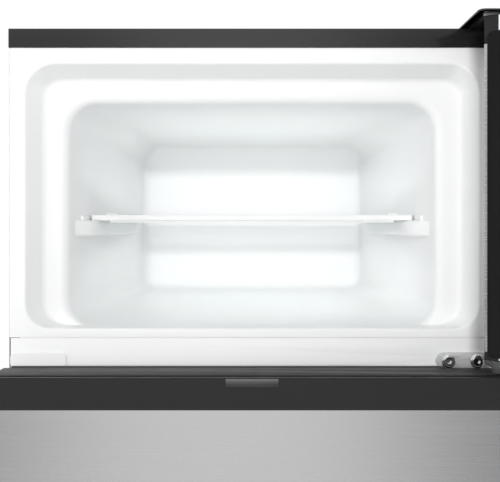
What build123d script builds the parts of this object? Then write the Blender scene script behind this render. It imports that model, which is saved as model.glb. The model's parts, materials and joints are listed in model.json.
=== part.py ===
from build123d import *

import os

# A two-door refrigerator with the freezer on top, in millimetres.
# X runs to the right, Y to the back and Z up. The origin is on the floor, under the middle of the
# cabinet's front. The front flange of the cabinet lies in the plane Y = 0 and the doors stand before
# it. The freezer door is drawn closed and then turned open, as it rests. The lower door is closed.

# ---------------------------------------------------------------- driving sizes: cabinet
cabinet_width = 545.0
cabinet_depth = 470.0
cabinet_height = 1410.0
sheet = 0.8
side_return = 12.0
liner_wall = 1.5
base_height = 64.0
rail_bottom = 30.0
rail_width = 28.0
rail_wall = 2.0
trim_height = 21.3
trim_proud = 1.5
trim_wall = 2.0
trim_depth = 14.0
small_round = 1.5
edge_round = 3.0

# ---------------------------------------------------------------- driving sizes: freezer space
flange_top = 18.6
flange_side = 19.5
flange_bottom = 10.2
freezer_opening_height = 295.6
ring_radius = 33.0
step_depth = 21.0
step_run = 10.0
ledge_side = 30.0
ledge_top = 28.8
opening_radius = 32.0
floor_radius = 27.0
freezer_depth = 400.0
freezer_taper = 18.0
back_round = 14.0

# ---------------------------------------------------------------- driving sizes: refrigerator space
cover_overlap = 22.4
cover_seam = 0.6
cover_from_side = 2.0
fridge_flange_top = 11.0
fridge_ring_bottom = 85.0
fridge_ledge_side = 13.0
fridge_ledge_top = 6.0
fridge_depth = 425.0
fridge_taper = 13.0
hump_height = 320.0
hump_depth = 300.0
bay_height = 285.0
bay_start = 340.0
shelf_count = 3
top_shelf_drop = 204.0
crisper_cover_level = 330.0
glass = 4.0
shelf_front = 96.0
shelf_back = 404.0
shelf_side_gap = 3.0
shelf_trim_height = 9.0
shelf_trim_depth = 12.0
shelf_trim_bite = 4.0
rib_height = 9.0
rib_width = 18.0

# ---------------------------------------------------------------- driving sizes: freezer shelf
freezer_shelf_height = 121.6
freezer_shelf_front = 95.0
freezer_shelf_back = 332.0
freezer_rail_height = 7.1
freezer_rail_depth = 14.0
freezer_rail_gap = 3.5
freezer_rail_lip = 2.6
freezer_glass_gap = 2.2
support_height = 20.0
support_width = 23.0
support_start = 80.0
support_end = 309.0
guide_gap = 3.2
guide_height = 4.0
guide_width = 14.0
guide_start = 170.0

# ---------------------------------------------------------------- driving sizes: doors
door_thickness = 55.0
door_gap = 12.0
door_top_clearance = 3.5
door_below_seam = 14.0
door_split = 16.9
fridge_door_bottom = 62.0
door_round = 10.0
skin_return = 14.0
top_cap_height = 29.4
bottom_cap_height = 9.0
cap_wall = 2.5
cap_lip = 1.6
front_cap_lip = 3.1
cap_lip_depth = 4.0
tab_width = 53.0
tab_height = 8.5
tab_proud = 1.2
tab_groove = 0.6
tab_groove_drops = (3.0, 5.1)
freezer_open_angle = 149.0

gasket_width = 15.5
gasket_clearance = 1.2
gasket_from_side = 3.2
gasket_from_end = 5.0
gasket_from_trim = 1.7
gasket_radius = 14.0
gasket_round = 3.0
dyke_clearance = 7.0
dyke_depth = 30.0
dyke_width = 22.0
dyke_round = 6.0
dyke_radius = 20.0

rack_reach = 75.0
rack_swing = 18.0
rack_wall = 2.0
rack_radius = 12.0
freezer_rack_height = 62.0
freezer_rack_drop = 99.6
fridge_rack_height = 74.0
fridge_rack_drop = 235.0
bottle_rack_height = 110.0

# ---------------------------------------------------------------- driving sizes: hinges
pin_radius = 4.0
pin_clearance = 0.05
pin_from_side = 11.0
pin_from_front = 31.0
pin_engagement = 22.0
bore_spare = 1.0
boss_wall = 5.0
shoulder_wall = 3.0
shoulder_gap = 0.6
hinge_plate = 4.0
plate_wall = 3.0
middle_plate_height = 17.4
middle_plate_drop = 2.85
middle_plate_from_side = 7.0
tongue_half = 9.0
head_gap = 1.0
neck_reach = 9.0
web_reach = 12.0
bolt_spacing = 31.8
bolt_from_side = 22.0
plate_past_bolt = 4.7
bolt_head_radius = 8.0
bolt_head_height = 4.6
bolt_dome = 3.0
bolt_shank_radius = 3.0
bolt_socket_radius = 3.0
bolt_socket_depth = 2.6
bolt_length = 14.0
bottom_hinge_drop = 5.0
top_plate_width = 27.0
top_plate_from_side = 2.5
top_plate_back = 62.0
top_bolt_depths = (20.0, 44.0)
hinge_cover_width = 39.5
hinge_cover_setback = 10.0
hinge_cover_back = 78.0
hinge_cover_height = 16.0
hinge_cover_skirt = 1.6
hinge_cover_side_slope = 17.0
hinge_cover_front_slope = 41.0
hinge_cover_wall = 1.2
hinge_cover_radius = 6.0
hinge_cover_edge = 0.5
hinge_cover_gap = 0.3
plug_from_side = 33.4
plug_width = 62.8
plug_height = 17.4
plug_proud = 2.0
plug_radius = 5.8

# ---------------------------------------------------------------- driving sizes: controls and drawer
housing_left = -110.0
housing_right = 172.0
housing_front = 40.0
housing_back = 190.0
housing_height = 36.0
knob_x = -55.0
knob_radius = 14.0
knob_depth = 11.0
knob_shaft_radius = 3.0
knob_shaft_length = 22.0
knob_gap = 0.4
knob_grip = 3.0
housing_round = 5.0
switch_x = 150.0
switch_radius = 4.0
switch_gap = 0.4
switch_length = 46.0
lamp_left = 24.0
lamp_width = 92.0
lamp_start = 74.0
lamp_depth = 92.0
lamp_radius = 9.0
lamp_gap = 3.0
lamp_from_end = 14.0
lamp_base = 26.0
lens_height = 8.0
lens_wall = 2.0
crisper_front = 108.0
crisper_wall = 2.2
crisper_gap = 6.0
crisper_radius = 28.0
crisper_grip = 9.0
crisper_grip_width = 130.0

# ---------------------------------------------------------------- driving sizes: base
foot_radius = 20.0
foot_height = 12.0
foot_stem_radius = 5.0
foot_stem_top = 60.0
foot_from_side = 40.0
foot_from_front = 32.0
foot_nut_radius = 10.0
foot_nut_height = 12.0
roller_radius = 18.0
roller_width = 20.0
roller_from_back = 36.0
roller_side_gap = 1.5
roller_clearance = 0.06
axle_radius = 3.0
ear_wall = 2.5
ear_half = 9.0
bay_plate_level = 44.0
bay_plate_gap = 6.0
grille_bottom = 14.0
grille_depth = 7.5
grille_wall = 2.0
grille_gap = 4.0
grille_slots = 3
grille_slot_height = 4.0
grille_margin = 10.0

# ---------------------------------------------------------------- driving sizes: cooling circuit
compressor_x = 40.0
compressor_length = 190.0
compressor_width = 108.0
compressor_height = 150.0
compressor_round = 38.0
compressor_from_back = 61.0
weld_rim = 3.0
strap_spacing = 130.0
strap_width = 24.0
strap_web = 12.0
grommet_radius = 10.0
grommet_height = 10.0
grommet_from_middle = 42.0
relay_width = 44.0
relay_depth = 46.0
relay_height = 66.0
relay_rise = 50.0
relay_bite = 11.0
relay_round = 4.0
pan_length = 172.0
pan_width = 96.0
pan_height = 26.0
pan_wall = 2.0
pan_radius = 12.0
condenser_tube = 2.5
condenser_wire = 0.8
condenser_gap = 8.0
condenser_from_side = 37.5
condenser_bottom = 340.0
condenser_pitch = 64.0
condenser_passes = 16
condenser_wires = 44
wire_gap = 0.05
wire_overhang = 12.0
clip_half = 9.0
clip_from_end = 2
clip_from_side = 5
copper_tube = 3.0
copper_bend = 7.0
pipe_from_coil = 15.0
pipe_over_coil = 32.0
pipe_rise = 50.0
outlet_offset = 30.0
return_offset = 30.0
capillary_x = 140.0
return_level = 318.0
drier_radius = 9.0
drier_length = 90.0
drier_drop = 20.0
evaporator_tube = 3.5
evaporator_passes = 8
evaporator_inset = 42.0
bend_spare = 0.6
fridge_evaporator_pitch = 40.0
fridge_evaporator_drop = 40.0
pocket_margin = 14.0
gland_x = -200.0
gland_level = 312.0
gland_radius = 9.0
gland_bore = 4.0
gland_length = 8.0
gland_run = 30.0

# ---------------------------------------------------------------- sizes worked out from these
half_width = cabinet_width / 2
inner_half = half_width - sheet
flange_back = liner_wall + sheet
back_front = cabinet_depth - sheet
top_underside = cabinet_height - sheet
trim_bottom = cabinet_height - trim_height
rail_top = base_height - sheet

ring_half = half_width - flange_side
step_half = ring_half - step_run
ring_top = trim_bottom - flange_top
ring_bottom = ring_top - freezer_opening_height
seam_level = ring_bottom - flange_bottom
wall_half = step_half - ledge_side
freezer_ceiling = ring_top - step_run - ledge_top
freezer_floor = ring_bottom

freezer_door_top = cabinet_height - door_top_clearance
freezer_door_bottom = seam_level - door_below_seam
fridge_door_top = freezer_door_bottom - door_split
split_level = (freezer_door_bottom + fridge_door_top) / 2
door_inner = -door_gap
door_front = -door_gap - door_thickness

cover_bottom = fridge_door_top - cover_overlap
fridge_ring_top = cover_bottom - fridge_flange_top
fridge_wall_half = step_half - fridge_ledge_side
fridge_ceiling = fridge_ring_top - step_run - fridge_ledge_top
fridge_floor = fridge_ring_bottom + step_run + fridge_ledge_top
shelf_level = freezer_floor + freezer_shelf_height
shelf_pitch = (fridge_ceiling - top_shelf_drop - crisper_cover_level) / shelf_count
shelf_levels = [crisper_cover_level + (count + 1) * shelf_pitch for count in range(shelf_count)]

pin_x = half_width - pin_from_side
pin_y = door_front + pin_from_front
bore_radius = pin_radius + pin_clearance
boss_radius = pin_radius + boss_wall
shoulder_radius = pin_radius + shoulder_wall

bolt_outer_x = half_width - bolt_from_side
bolt_inner_x = bolt_outer_x - bolt_spacing
bolt_level = split_level - middle_plate_drop
bottom_plate_top = fridge_door_bottom - bottom_hinge_drop
bottom_bolt_level = (rail_bottom + bottom_plate_top) / 2
top_plate_right = half_width - top_plate_from_side
top_plate_left = top_plate_right - top_plate_width
top_bolt_x = (top_plate_left + top_plate_right) / 2
bolt_places = [
    Plane(origin=(x, -plate_wall + shift, level), x_dir=(1, 0, 0), z_dir=(0, -1, 0))
    for x in (bolt_inner_x, bolt_outer_x)
    for shift, level in ((0, bolt_level), (liner_wall, bottom_bolt_level))
] + [
    Plane(origin=(top_bolt_x, y, cabinet_height + hinge_plate), z_dir=(0, 0, 1)) for y in top_bolt_depths
]

foot_x = half_width - foot_from_side
roller_x = half_width - foot_from_side
roller_y = cabinet_depth - roller_from_back
condenser_plane = cabinet_depth + condenser_gap
condenser_half = half_width - condenser_from_side
condenser_top = condenser_bottom + (condenser_passes - 1) * condenser_pitch
housing_bottom = fridge_ceiling - housing_height
housing_middle = fridge_ceiling - housing_height / 2


# ---------------------------------------------------------------- helpers
def upright(y):
    """The upright plane at depth y, seen from the front, with X to the right and Z up."""
    return Plane.XZ.offset(-y)


def block(x, y, z, mode=Mode.ADD):
    """A box between two values of X, of Y and of Z."""
    with Locations(tuple(sum(pair) / 2 for pair in (x, y, z))):
        Box(*(abs(high - low) for low, high in (x, y, z)), mode=mode)


def rod(start, end, radius, mode=Mode.ADD):
    """A round rod between two points."""
    line = Vector(*end) - Vector(*start)
    with Locations(Plane(origin=start, z_dir=line)):
        Cylinder(radius, line.length, align=(Align.CENTER, Align.CENTER, Align.MIN), mode=mode)


def upright_rod(z, radius, mode=Mode.ADD):
    """A round rod on the doors' hinge axis, from z[0] to z[1]."""
    rod((pin_x, pin_y, z[0]), (pin_x, pin_y, z[1]), radius, mode)


def outline_at(y, half, z, top_radius, bottom_radius):
    """A rectangle at depth y with rounded corners, centred on X = 0."""
    with BuildSketch(upright(y)) as outline:
        with Locations((0, (z[0] + z[1]) / 2)):
            Rectangle(2 * half, z[1] - z[0])
        fillet(outline.vertices().group_by(Axis.Y)[-1], top_radius)
        fillet(outline.vertices().group_by(Axis.Y)[0], bottom_radius)
    return outline.sketch


def rounded_slab(half, y, z, radius, mode=Mode.ADD):
    """A slab from depth y[0] to y[1] with rounded corners, centred on X = 0."""
    extrude(outline_at(y[0], half, z, radius, radius), amount=y[0] - y[1], mode=mode)


def tube(points, bends, radius):
    """A round tube along straight runs joined by arcs."""
    with BuildPart() as pipe:
        with BuildLine() as route:
            FilletPolyline(*points, radius=bends)
        with BuildSketch(Plane(origin=route.line @ 0, z_dir=route.line % 0)):
            Circle(radius)
        sweep(path=route.line)
    return pipe.part


def serpentine(half, y, bottom, pitch, passes, radius):
    """A tube that runs from side to side at depth y, one pass above the other."""
    points = []
    for level in range(passes):
        side = 1 if level % 2 == 0 else -1
        points.append((side * half, y, bottom + level * pitch))
        points.append((-side * half, y, bottom + level * pitch))
    bend = (pitch - bend_spare) / 2
    return tube(points, [bend] * (len(points) - 2), radius)


def hinge_cover_body(inset, bottom, mode=Mode.ADD):
    """The hinge cover's form: a low skirt, with slopes over it at the front and on the inner side."""
    skirt_top = cabinet_height + hinge_cover_gap + hinge_cover_skirt - inset / 2
    left, right = half_width - hinge_cover_width + inset, half_width - inset
    front, back = door_front + hinge_cover_setback + inset, hinge_cover_back - inset
    plans = []
    for level, side, ahead in (
        (bottom, 0, 0),
        (skirt_top, 0, 0),
        (cabinet_height + hinge_cover_height - inset, hinge_cover_side_slope, hinge_cover_front_slope),
    ):
        with BuildSketch(Plane.XY.offset(level)) as plan:
            with Locations(((left + side + right) / 2, (front + ahead + back) / 2)):
                RectangleRounded(
                    right - left - side, back - front - ahead, hinge_cover_radius - inset
                )
        plans.append(plan.sketch)
    extrude(plans[0], amount=skirt_top - bottom, mode=mode)
    loft(plans[1:], mode=mode)


def bolt_holes():
    """The holes that the hinge bolts go through."""
    with Locations(*bolt_places):
        Cylinder(
            bolt_shank_radius,
            bolt_length,
            align=(Align.CENTER, Align.CENTER, Align.MAX),
            mode=Mode.SUBTRACT,
        )


def finish(piece, name):
    """Names a finished piece and writes it."""
    piece.label = name
    export_step(piece, f"parts/{name}.step")


def finish_open(piece, name):
    """Turns a piece of the freezer door about its hinge to where it rests, and writes it."""
    finish(piece.rotate(Axis((pin_x, pin_y, 0), (0, 0, 1)), freezer_open_angle), name)


os.makedirs("parts", exist_ok=True)

# ---------------------------------------------------------------- cabinet shell
for name, side in (("side_panel_left", -1), ("side_panel_right", 1)):
    with BuildPart() as side_panel:
        block(
            (side * inner_half, side * half_width),
            (liner_wall, cabinet_depth),
            (rail_bottom, cabinet_height),
        )
        block(
            (side * (half_width - side_return), side * half_width),
            (liner_wall, flange_back),
            (base_height, trim_bottom),
        )
    finish(side_panel.part, name)

with BuildPart() as top_panel:
    block((-inner_half, inner_half), (trim_wall, cabinet_depth), (top_underside, cabinet_height))
    bolt_holes()
finish(top_panel.part, "top_panel")

with BuildPart() as back_panel:
    block((-inner_half, inner_half), (back_front, cabinet_depth), (bay_height, top_underside))
    rod((gland_x, back_front - 1, gland_level), (gland_x, cabinet_depth + 1, gland_level),
        gland_bore, mode=Mode.SUBTRACT)
finish(back_panel.part, "back_panel")

# The stepped sheet under the foam forms the compressor's bay at the back.
with BuildPart() as bay_panel:
    block((-inner_half, inner_half), (flange_back, bay_start), (rail_top, base_height))
    block((-inner_half, inner_half), (bay_start, bay_start + sheet), (rail_top, bay_height))
    block((-inner_half, inner_half), (bay_start, back_front), (bay_height - sheet, bay_height))
finish(bay_panel.part, "bay_panel")

web_front = liner_wall
web_back = web_front + rail_wall
frame_back = cabinet_depth - rail_wall
bay_plate_front = bay_start + bay_plate_gap
ear_offset = roller_width / 2 + roller_side_gap
with BuildPart() as base_frame:
    block((-inner_half, inner_half), (web_front, web_back), (rail_bottom, rail_top))
    block(
        (-inner_half, inner_half),
        (web_back, foot_from_front + foot_radius),
        (rail_bottom, rail_bottom + rail_wall),
    )
    block(
        (-inner_half, inner_half),
        (bay_plate_front, frame_back),
        (bay_plate_level, bay_plate_level + rail_wall),
    )
    block(
        (-inner_half, inner_half),
        (bay_plate_front, bay_plate_front + rail_wall),
        (rail_bottom, bay_plate_level),
    )
    for side in (-1, 1):
        outer = side * inner_half
        inner = side * (inner_half - rail_width)
        block((outer, outer - side * rail_wall), (web_back, frame_back), (rail_bottom, rail_top))
        block((outer, inner), (web_back, frame_back), (rail_bottom, rail_bottom + rail_wall))
        block((outer, inner), (web_back, bay_start), (rail_top - rail_wall, rail_top))
        rod(
            (side * foot_x, foot_from_front, rail_bottom),
            (side * foot_x, foot_from_front, rail_bottom + foot_nut_height),
            foot_nut_radius,
        )
        rod(
            (side * foot_x, foot_from_front, rail_bottom - 1),
            (side * foot_x, foot_from_front, rail_bottom + foot_nut_height + 1),
            foot_stem_radius + pin_clearance,
            mode=Mode.SUBTRACT,
        )
        block(
            (side * roller_x - ear_offset, side * roller_x + ear_offset),
            (roller_y - roller_radius - roller_side_gap, roller_y + roller_radius + roller_side_gap),
            (rail_bottom - 1, 2 * roller_radius + 2 * roller_side_gap),
            mode=Mode.SUBTRACT,
        )
        for face in (-1, 1):
            ear = side * roller_x + face * ear_offset
            block(
                (ear, ear + face * ear_wall),
                (roller_y - ear_half, roller_y + ear_half),
                (roller_radius / 2, bay_plate_level),
            )
        rod(
            (side * roller_x - 2 * ear_offset, roller_y, roller_radius),
            (side * roller_x + 2 * ear_offset, roller_y, roller_radius),
            axle_radius,
            mode=Mode.SUBTRACT,
        )
    bolt_holes()
finish(base_frame.part, "base_frame")


# ---------------------------------------------------------------- freezer liner
def freezer_space(grow):
    """The freezer's hollow, or the same that much larger all round for the liner's outside."""
    bottom = ring_bottom - grow
    with BuildPart() as space:
        loft(
            [
                outline_at(0, ring_half + grow, (bottom, ring_top + grow), ring_radius, floor_radius),
                outline_at(
                    step_depth + grow,
                    step_half + grow,
                    (bottom, ring_top - step_run + grow),
                    ring_radius - step_run + grow,
                    floor_radius,
                ),
            ]
        )
        loft(
            [
                outline_at(
                    y,
                    half + grow,
                    (bottom, freezer_ceiling + grow),
                    opening_radius + grow,
                    floor_radius + grow,
                )
                for y, half in (
                    (step_depth, wall_half),
                    (freezer_depth + grow, wall_half - freezer_taper),
                )
            ]
        )
        fillet(space.faces().sort_by(Axis.Y)[-1].edges(), back_round + grow)
    return space.part


def freezer_wall_at(y):
    """Half the width between the freezer's side walls at depth y."""
    return wall_half - freezer_taper * (y - step_depth) / (freezer_depth - step_depth)


def side_rib(side, start, end, bottom, height, wall_at, front_width, back_width):
    """A rib moulded on a tapering side wall, from depth start to end."""
    with BuildSketch(Plane.XY.offset(bottom)) as rib:
        with BuildLine():
            Polyline(
                (side * (wall_at(start) - front_width), start),
                (side * (wall_at(start) + liner_wall / 2), start),
                (side * (wall_at(end) + liner_wall / 2), end),
                (side * (wall_at(end) - back_width), end),
                close=True,
            )
        make_face()
    extrude(rib.sketch, amount=height)


freezer_outside = freezer_space(liner_wall)
with BuildPart() as freezer_liner:
    block((-inner_half, inner_half), (0, liner_wall), (seam_level, trim_bottom))
    add(freezer_outside)
    add(freezer_space(0), mode=Mode.SUBTRACT)
    for side in (-1, 1):
        side_rib(
            side, support_start, support_end, shelf_level - support_height, support_height,
            freezer_wall_at, support_width, support_width / 2,
        )
        side_rib(
            side, guide_start, support_end, shelf_level + glass + guide_gap, guide_height,
            freezer_wall_at, guide_width, guide_width / 2,
        )
finish(freezer_liner.part, "freezer_liner")


# ---------------------------------------------------------------- refrigerator liner
def fridge_space(grow):
    """The lower hollow with the hump over the compressor's bay, or the same grown all round."""
    with BuildPart() as space:
        loft(
            [
                outline_at(
                    y,
                    half + grow,
                    (fridge_ring_bottom + rise - grow, fridge_ring_top - rise + grow),
                    ring_radius - rise + grow,
                    ring_radius - rise + grow,
                )
                for y, half, rise in ((0, ring_half, 0), (step_depth + grow, step_half, step_run))
            ]
        )
        loft(
            [
                outline_at(
                    y,
                    half + grow,
                    (fridge_floor - grow, fridge_ceiling + grow),
                    opening_radius + grow,
                    opening_radius + grow,
                )
                for y, half in (
                    (step_depth, fridge_wall_half),
                    (fridge_depth + grow, fridge_wall_half - fridge_taper),
                )
            ]
        )
        block(
            (-half_width, half_width),
            (hump_depth + grow, cabinet_depth),
            (0, hump_height - grow),
            mode=Mode.SUBTRACT,
        )
    return space.part


def fridge_wall_at(y):
    """Half the width between the lower side walls at depth y."""
    return fridge_wall_half - fridge_taper * (y - step_depth) / (fridge_depth - step_depth)


rib_start = shelf_front + shelf_trim_depth
fridge_outside = fridge_space(liner_wall)
with BuildPart() as fridge_liner:
    block((-inner_half, inner_half), (0, liner_wall), (base_height, cover_bottom))
    add(fridge_outside)
    add(fridge_space(0), mode=Mode.SUBTRACT)
    for level in (crisper_cover_level, *shelf_levels):
        for side in (-1, 1):
            side_rib(
                side, rib_start, shelf_back, level - rib_height, rib_height,
                fridge_wall_at, rib_width, rib_width,
            )
finish(fridge_liner.part, "fridge_liner")

# ---------------------------------------------------------------- evaporator tubing and foam
evaporators = []
for wall, half, bottom, pitch in (
    (
        freezer_depth,
        wall_half - freezer_taper - evaporator_inset,
        freezer_floor + evaporator_inset,
        (freezer_ceiling - freezer_floor - 2 * evaporator_inset) / (evaporator_passes - 1),
    ),
    (
        fridge_depth,
        fridge_wall_half - fridge_taper - evaporator_inset,
        fridge_ceiling - fridge_evaporator_drop - (evaporator_passes - 1) * fridge_evaporator_pitch,
        fridge_evaporator_pitch,
    ),
):
    evaporators.append((wall + liner_wall, half, bottom, pitch))

with BuildPart() as evaporator_tubing:
    for wall, half, bottom, pitch in evaporators:
        add(serpentine(half, wall + evaporator_tube, bottom, pitch, evaporator_passes, evaporator_tube))
finish(evaporator_tubing.part, "evaporator_tubing")

with BuildPart() as insulation_foam:
    block((-inner_half, inner_half), (flange_back, back_front), (base_height, top_underside))
    block(
        (-half_width, half_width),
        (bay_start, cabinet_depth),
        (0, bay_height),
        mode=Mode.SUBTRACT,
    )
    block((-half_width, half_width), (0, trim_depth), (trim_bottom, cabinet_height), mode=Mode.SUBTRACT)
    add(freezer_outside, mode=Mode.SUBTRACT)
    add(fridge_outside, mode=Mode.SUBTRACT)
    for wall, half, bottom, pitch in evaporators:
        block(
            (-half - pocket_margin, half + pocket_margin),
            (wall - 1, wall + 2 * evaporator_tube + 1),
            (bottom - pocket_margin, bottom + (evaporator_passes - 1) * pitch + pocket_margin),
            mode=Mode.SUBTRACT,
        )
    rod((gland_x, back_front - gland_run, gland_level), (gland_x, cabinet_depth, gland_level),
        gland_bore, mode=Mode.SUBTRACT)
    bolt_holes()
finish(insulation_foam.part, "insulation_foam")

# ---------------------------------------------------------------- front trims
with BuildPart() as top_front_trim:
    block((-half_width, half_width), (-trim_proud, trim_depth), (trim_bottom, cabinet_height))
    block(
        (-inner_half + trim_wall, inner_half - trim_wall),
        (trim_wall - trim_proud, trim_depth - trim_wall),
        (trim_bottom + trim_wall, top_underside - trim_wall),
        mode=Mode.SUBTRACT,
    )
    block(
        (-half_width, half_width),
        (trim_wall, trim_depth + 1),
        (top_underside, cabinet_height + 1),
        mode=Mode.SUBTRACT,
    )
    for side in (-1, 1):
        block(
            (side * inner_half, side * (half_width + 1)),
            (liner_wall, trim_depth + 1),
            (trim_bottom - 1, cabinet_height + 1),
            mode=Mode.SUBTRACT,
        )
finish(top_front_trim.part, "top_front_trim")

with BuildPart() as mullion_cover:
    block(
        (-half_width + cover_from_side, half_width - cover_from_side),
        (0, liner_wall),
        (cover_bottom + cover_seam, seam_level - cover_seam),
    )
    bolt_holes()
finish(mullion_cover.part, "mullion_cover")

with BuildPart() as mullion_hole_cover:
    with BuildSketch(upright(0)):
        with Locations((-half_width + plug_from_side, bolt_level)):
            RectangleRounded(plug_width, plug_height, plug_radius)
    extrude(amount=plug_proud)
    fillet(mullion_hole_cover.faces().sort_by(Axis.Y)[0].edges(), plug_proud / 2)
finish(mullion_hole_cover.part, "mullion_hole_cover")

# ---------------------------------------------------------------- hinges
with BuildPart() as top_hinge_bracket:
    block(
        (top_plate_left, top_plate_right),
        (pin_y - shoulder_radius - 1, top_plate_back),
        (cabinet_height, cabinet_height + hinge_plate),
    )
    fillet(top_hinge_bracket.edges().filter_by(Axis.Z), hinge_plate)
    upright_rod((freezer_door_top - pin_engagement, cabinet_height), pin_radius)
    upright_rod((freezer_door_top + shoulder_gap, cabinet_height), shoulder_radius)
    bolt_holes()
finish(top_hinge_bracket.part, "top_hinge_bracket")

with BuildPart() as top_hinge_cover:
    hinge_cover_body(0, cabinet_height + hinge_cover_gap)
    fillet(top_hinge_cover.faces().sort_by(Axis.Z)[-1].edges(), hinge_cover_edge)
    hinge_cover_body(hinge_cover_wall, cabinet_height, Mode.SUBTRACT)
finish(top_hinge_cover.part, "top_hinge_cover")

tongue = (split_level - hinge_plate / 2, split_level + hinge_plate / 2)
middle_plate = (bolt_level - middle_plate_height / 2, bolt_level + middle_plate_height / 2)
middle_plate_right = half_width - middle_plate_from_side
neck_left = bolt_outer_x + bolt_head_radius + head_gap
with BuildPart() as middle_hinge_bracket:
    block((bolt_inner_x - plate_past_bolt, middle_plate_right), (-plate_wall, 0), middle_plate)
    rod(
        (bolt_inner_x - plate_past_bolt, -plate_wall, bolt_level),
        (bolt_inner_x - plate_past_bolt, 0, bolt_level),
        middle_plate_height / 2,
    )
    with BuildSketch(Plane.XY.offset(tongue[0])) as neck:
        with BuildLine():
            Polyline(
                (neck_left, -plate_wall / 2),
                (pin_x + tongue_half, -plate_wall / 2),
                (pin_x + tongue_half, pin_y),
                (pin_x - tongue_half, pin_y),
                (pin_x - tongue_half, -2 * neck_reach),
                (neck_left, -neck_reach),
                close=True,
            )
        make_face()
    extrude(neck.sketch, amount=hinge_plate)
    upright_rod(tongue, tongue_half)
    with BuildSketch(Plane.YZ.offset(neck_left)) as web:
        with BuildLine():
            Polyline(
                (-plate_wall / 2, tongue[0]),
                (-plate_wall / 2, middle_plate[1]),
                (-web_reach, middle_plate[1]),
                (pin_y + tongue_half, tongue[1]),
                (pin_y + tongue_half, tongue[0]),
                close=True,
            )
        make_face()
    extrude(web.sketch, amount=plate_wall)
    upright_rod((fridge_door_top - pin_engagement, freezer_door_bottom + pin_engagement), pin_radius)
    upright_rod(
        (fridge_door_top + shoulder_gap, freezer_door_bottom - shoulder_gap), shoulder_radius
    )
    bolt_holes()
finish(middle_hinge_bracket.part, "middle_hinge_bracket")

bottom_tongue = (bottom_plate_top - hinge_plate, bottom_plate_top)
with BuildPart() as bottom_hinge_bracket:
    block(
        (bolt_inner_x - bolt_head_radius - plate_wall, top_plate_right),
        (liner_wall - plate_wall, liner_wall),
        (rail_bottom, bottom_plate_top),
    )
    block((pin_x - tongue_half, top_plate_right), (pin_y, 0), bottom_tongue)
    upright_rod(bottom_tongue, tongue_half)
    upright_rod((bottom_tongue[0], fridge_door_bottom + pin_engagement), pin_radius)
    upright_rod((bottom_tongue[0], fridge_door_bottom - shoulder_gap), shoulder_radius)
    bolt_holes()
finish(bottom_hinge_bracket.part, "bottom_hinge_bracket")


def button_bolt(place):
    """A bolt with a domed head and a hexagon socket, whose head sits on a plane."""
    with BuildPart(place) as bolt:
        Cylinder(bolt_head_radius, bolt_head_height, align=(Align.CENTER, Align.CENTER, Align.MIN))
        fillet(bolt.edges().sort_by(Axis(place.origin, place.z_dir))[-1], bolt_dome)
        with BuildSketch(place.offset(bolt_head_height)) as socket:
            RegularPolygon(bolt_socket_radius, 6)
        extrude(socket.sketch, amount=-bolt_socket_depth, mode=Mode.SUBTRACT)
        Cylinder(bolt_shank_radius, bolt_length, align=(Align.CENTER, Align.CENTER, Align.MAX))
    return bolt.part


bolts = [button_bolt(place) for place in bolt_places]
with BuildPart() as hinge_bolts:
    add(bolts)
finish(hinge_bolts.part, "hinge_bolts")


# ---------------------------------------------------------------- doors
def door_outline(inset, back, z):
    """A door's outline seen from above at height z, with rounded front edges."""
    front = door_front + inset
    with BuildSketch(Plane.XY.offset(z)) as outline:
        with Locations((0, (front + back) / 2)):
            Rectangle(2 * (half_width - inset), back - front)
        fillet(outline.vertices().group_by(Axis.Y)[0], door_round - inset)
    return outline.sketch


def door_skin(z):
    """The sheet that wraps a door's front and sides and turns in at its inner face."""
    with BuildPart() as skin:
        extrude(door_outline(0, door_inner, z[0]), amount=z[1] - z[0])
        extrude(door_outline(sheet, door_inner - sheet, z[0]), amount=z[1] - z[0], mode=Mode.SUBTRACT)
        block(
            (skin_return - half_width, half_width - skin_return),
            (door_inner - 2 * sheet, door_inner),
            z,
            mode=Mode.SUBTRACT,
        )
    return skin.part


def dyke(grow, back, dyke_half, dyke_z, rack_half):
    """The raised ring on a door's liner, or the same shrunk for the foam that fills it."""
    with BuildPart() as ring:
        rounded_slab(
            dyke_half + grow,
            (back, door_inner + dyke_depth + grow),
            (dyke_z[0] - grow, dyke_z[1] + grow),
            dyke_radius + grow,
        )
        rounded_slab(
            rack_half - grow,
            (back, door_inner + dyke_depth + grow),
            (dyke_z[0] + dyke_width + grow, dyke_z[1] - dyke_width - grow),
            dyke_round - grow,
            mode=Mode.SUBTRACT,
        )
        fillet(ring.faces().sort_by(Axis.Y)[-1].edges(), dyke_round + grow)
    return ring.part


def door_liner(z, *dyke_sizes):
    """The moulded inner sheet of a door."""
    with BuildPart() as liner:
        block(
            (skin_return - half_width, half_width - skin_return),
            (door_inner - liner_wall, door_inner),
            (z[0] + liner_wall, z[1] - liner_wall),
        )
        add(dyke(0, door_inner - liner_wall, *dyke_sizes))
        add(dyke(-liner_wall, door_inner - liner_wall, *dyke_sizes), mode=Mode.SUBTRACT)
    return liner.part


def door_foam(skin_z, boss_z, *dyke_sizes):
    """The foam that fills a door, with room for the bottom cap's hinge boss."""
    with BuildPart() as foam:
        extrude(
            door_outline(sheet, door_inner - liner_wall, skin_z[0]), amount=skin_z[1] - skin_z[0]
        )
        add(dyke(-liner_wall, door_inner - liner_wall, *dyke_sizes))
        upright_rod((skin_z[0] - 1, boss_z), boss_radius, mode=Mode.SUBTRACT)
    return foam.part


def door_gasket(z):
    """The soft frame that seals a door against the cabinet's flange."""
    outer = half_width - gasket_from_side
    with BuildPart() as gasket:
        rounded_slab(outer, (door_inner, -gasket_clearance), z, gasket_radius)
        fillet(gasket.faces().sort_by(Axis.Y)[-1].edges(), gasket_round)
        rounded_slab(
            outer - gasket_width,
            (door_inner, -gasket_clearance),
            (z[0] + gasket_width, z[1] - gasket_width),
            gasket_radius / 2,
            mode=Mode.SUBTRACT,
        )
    return gasket.part


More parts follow.
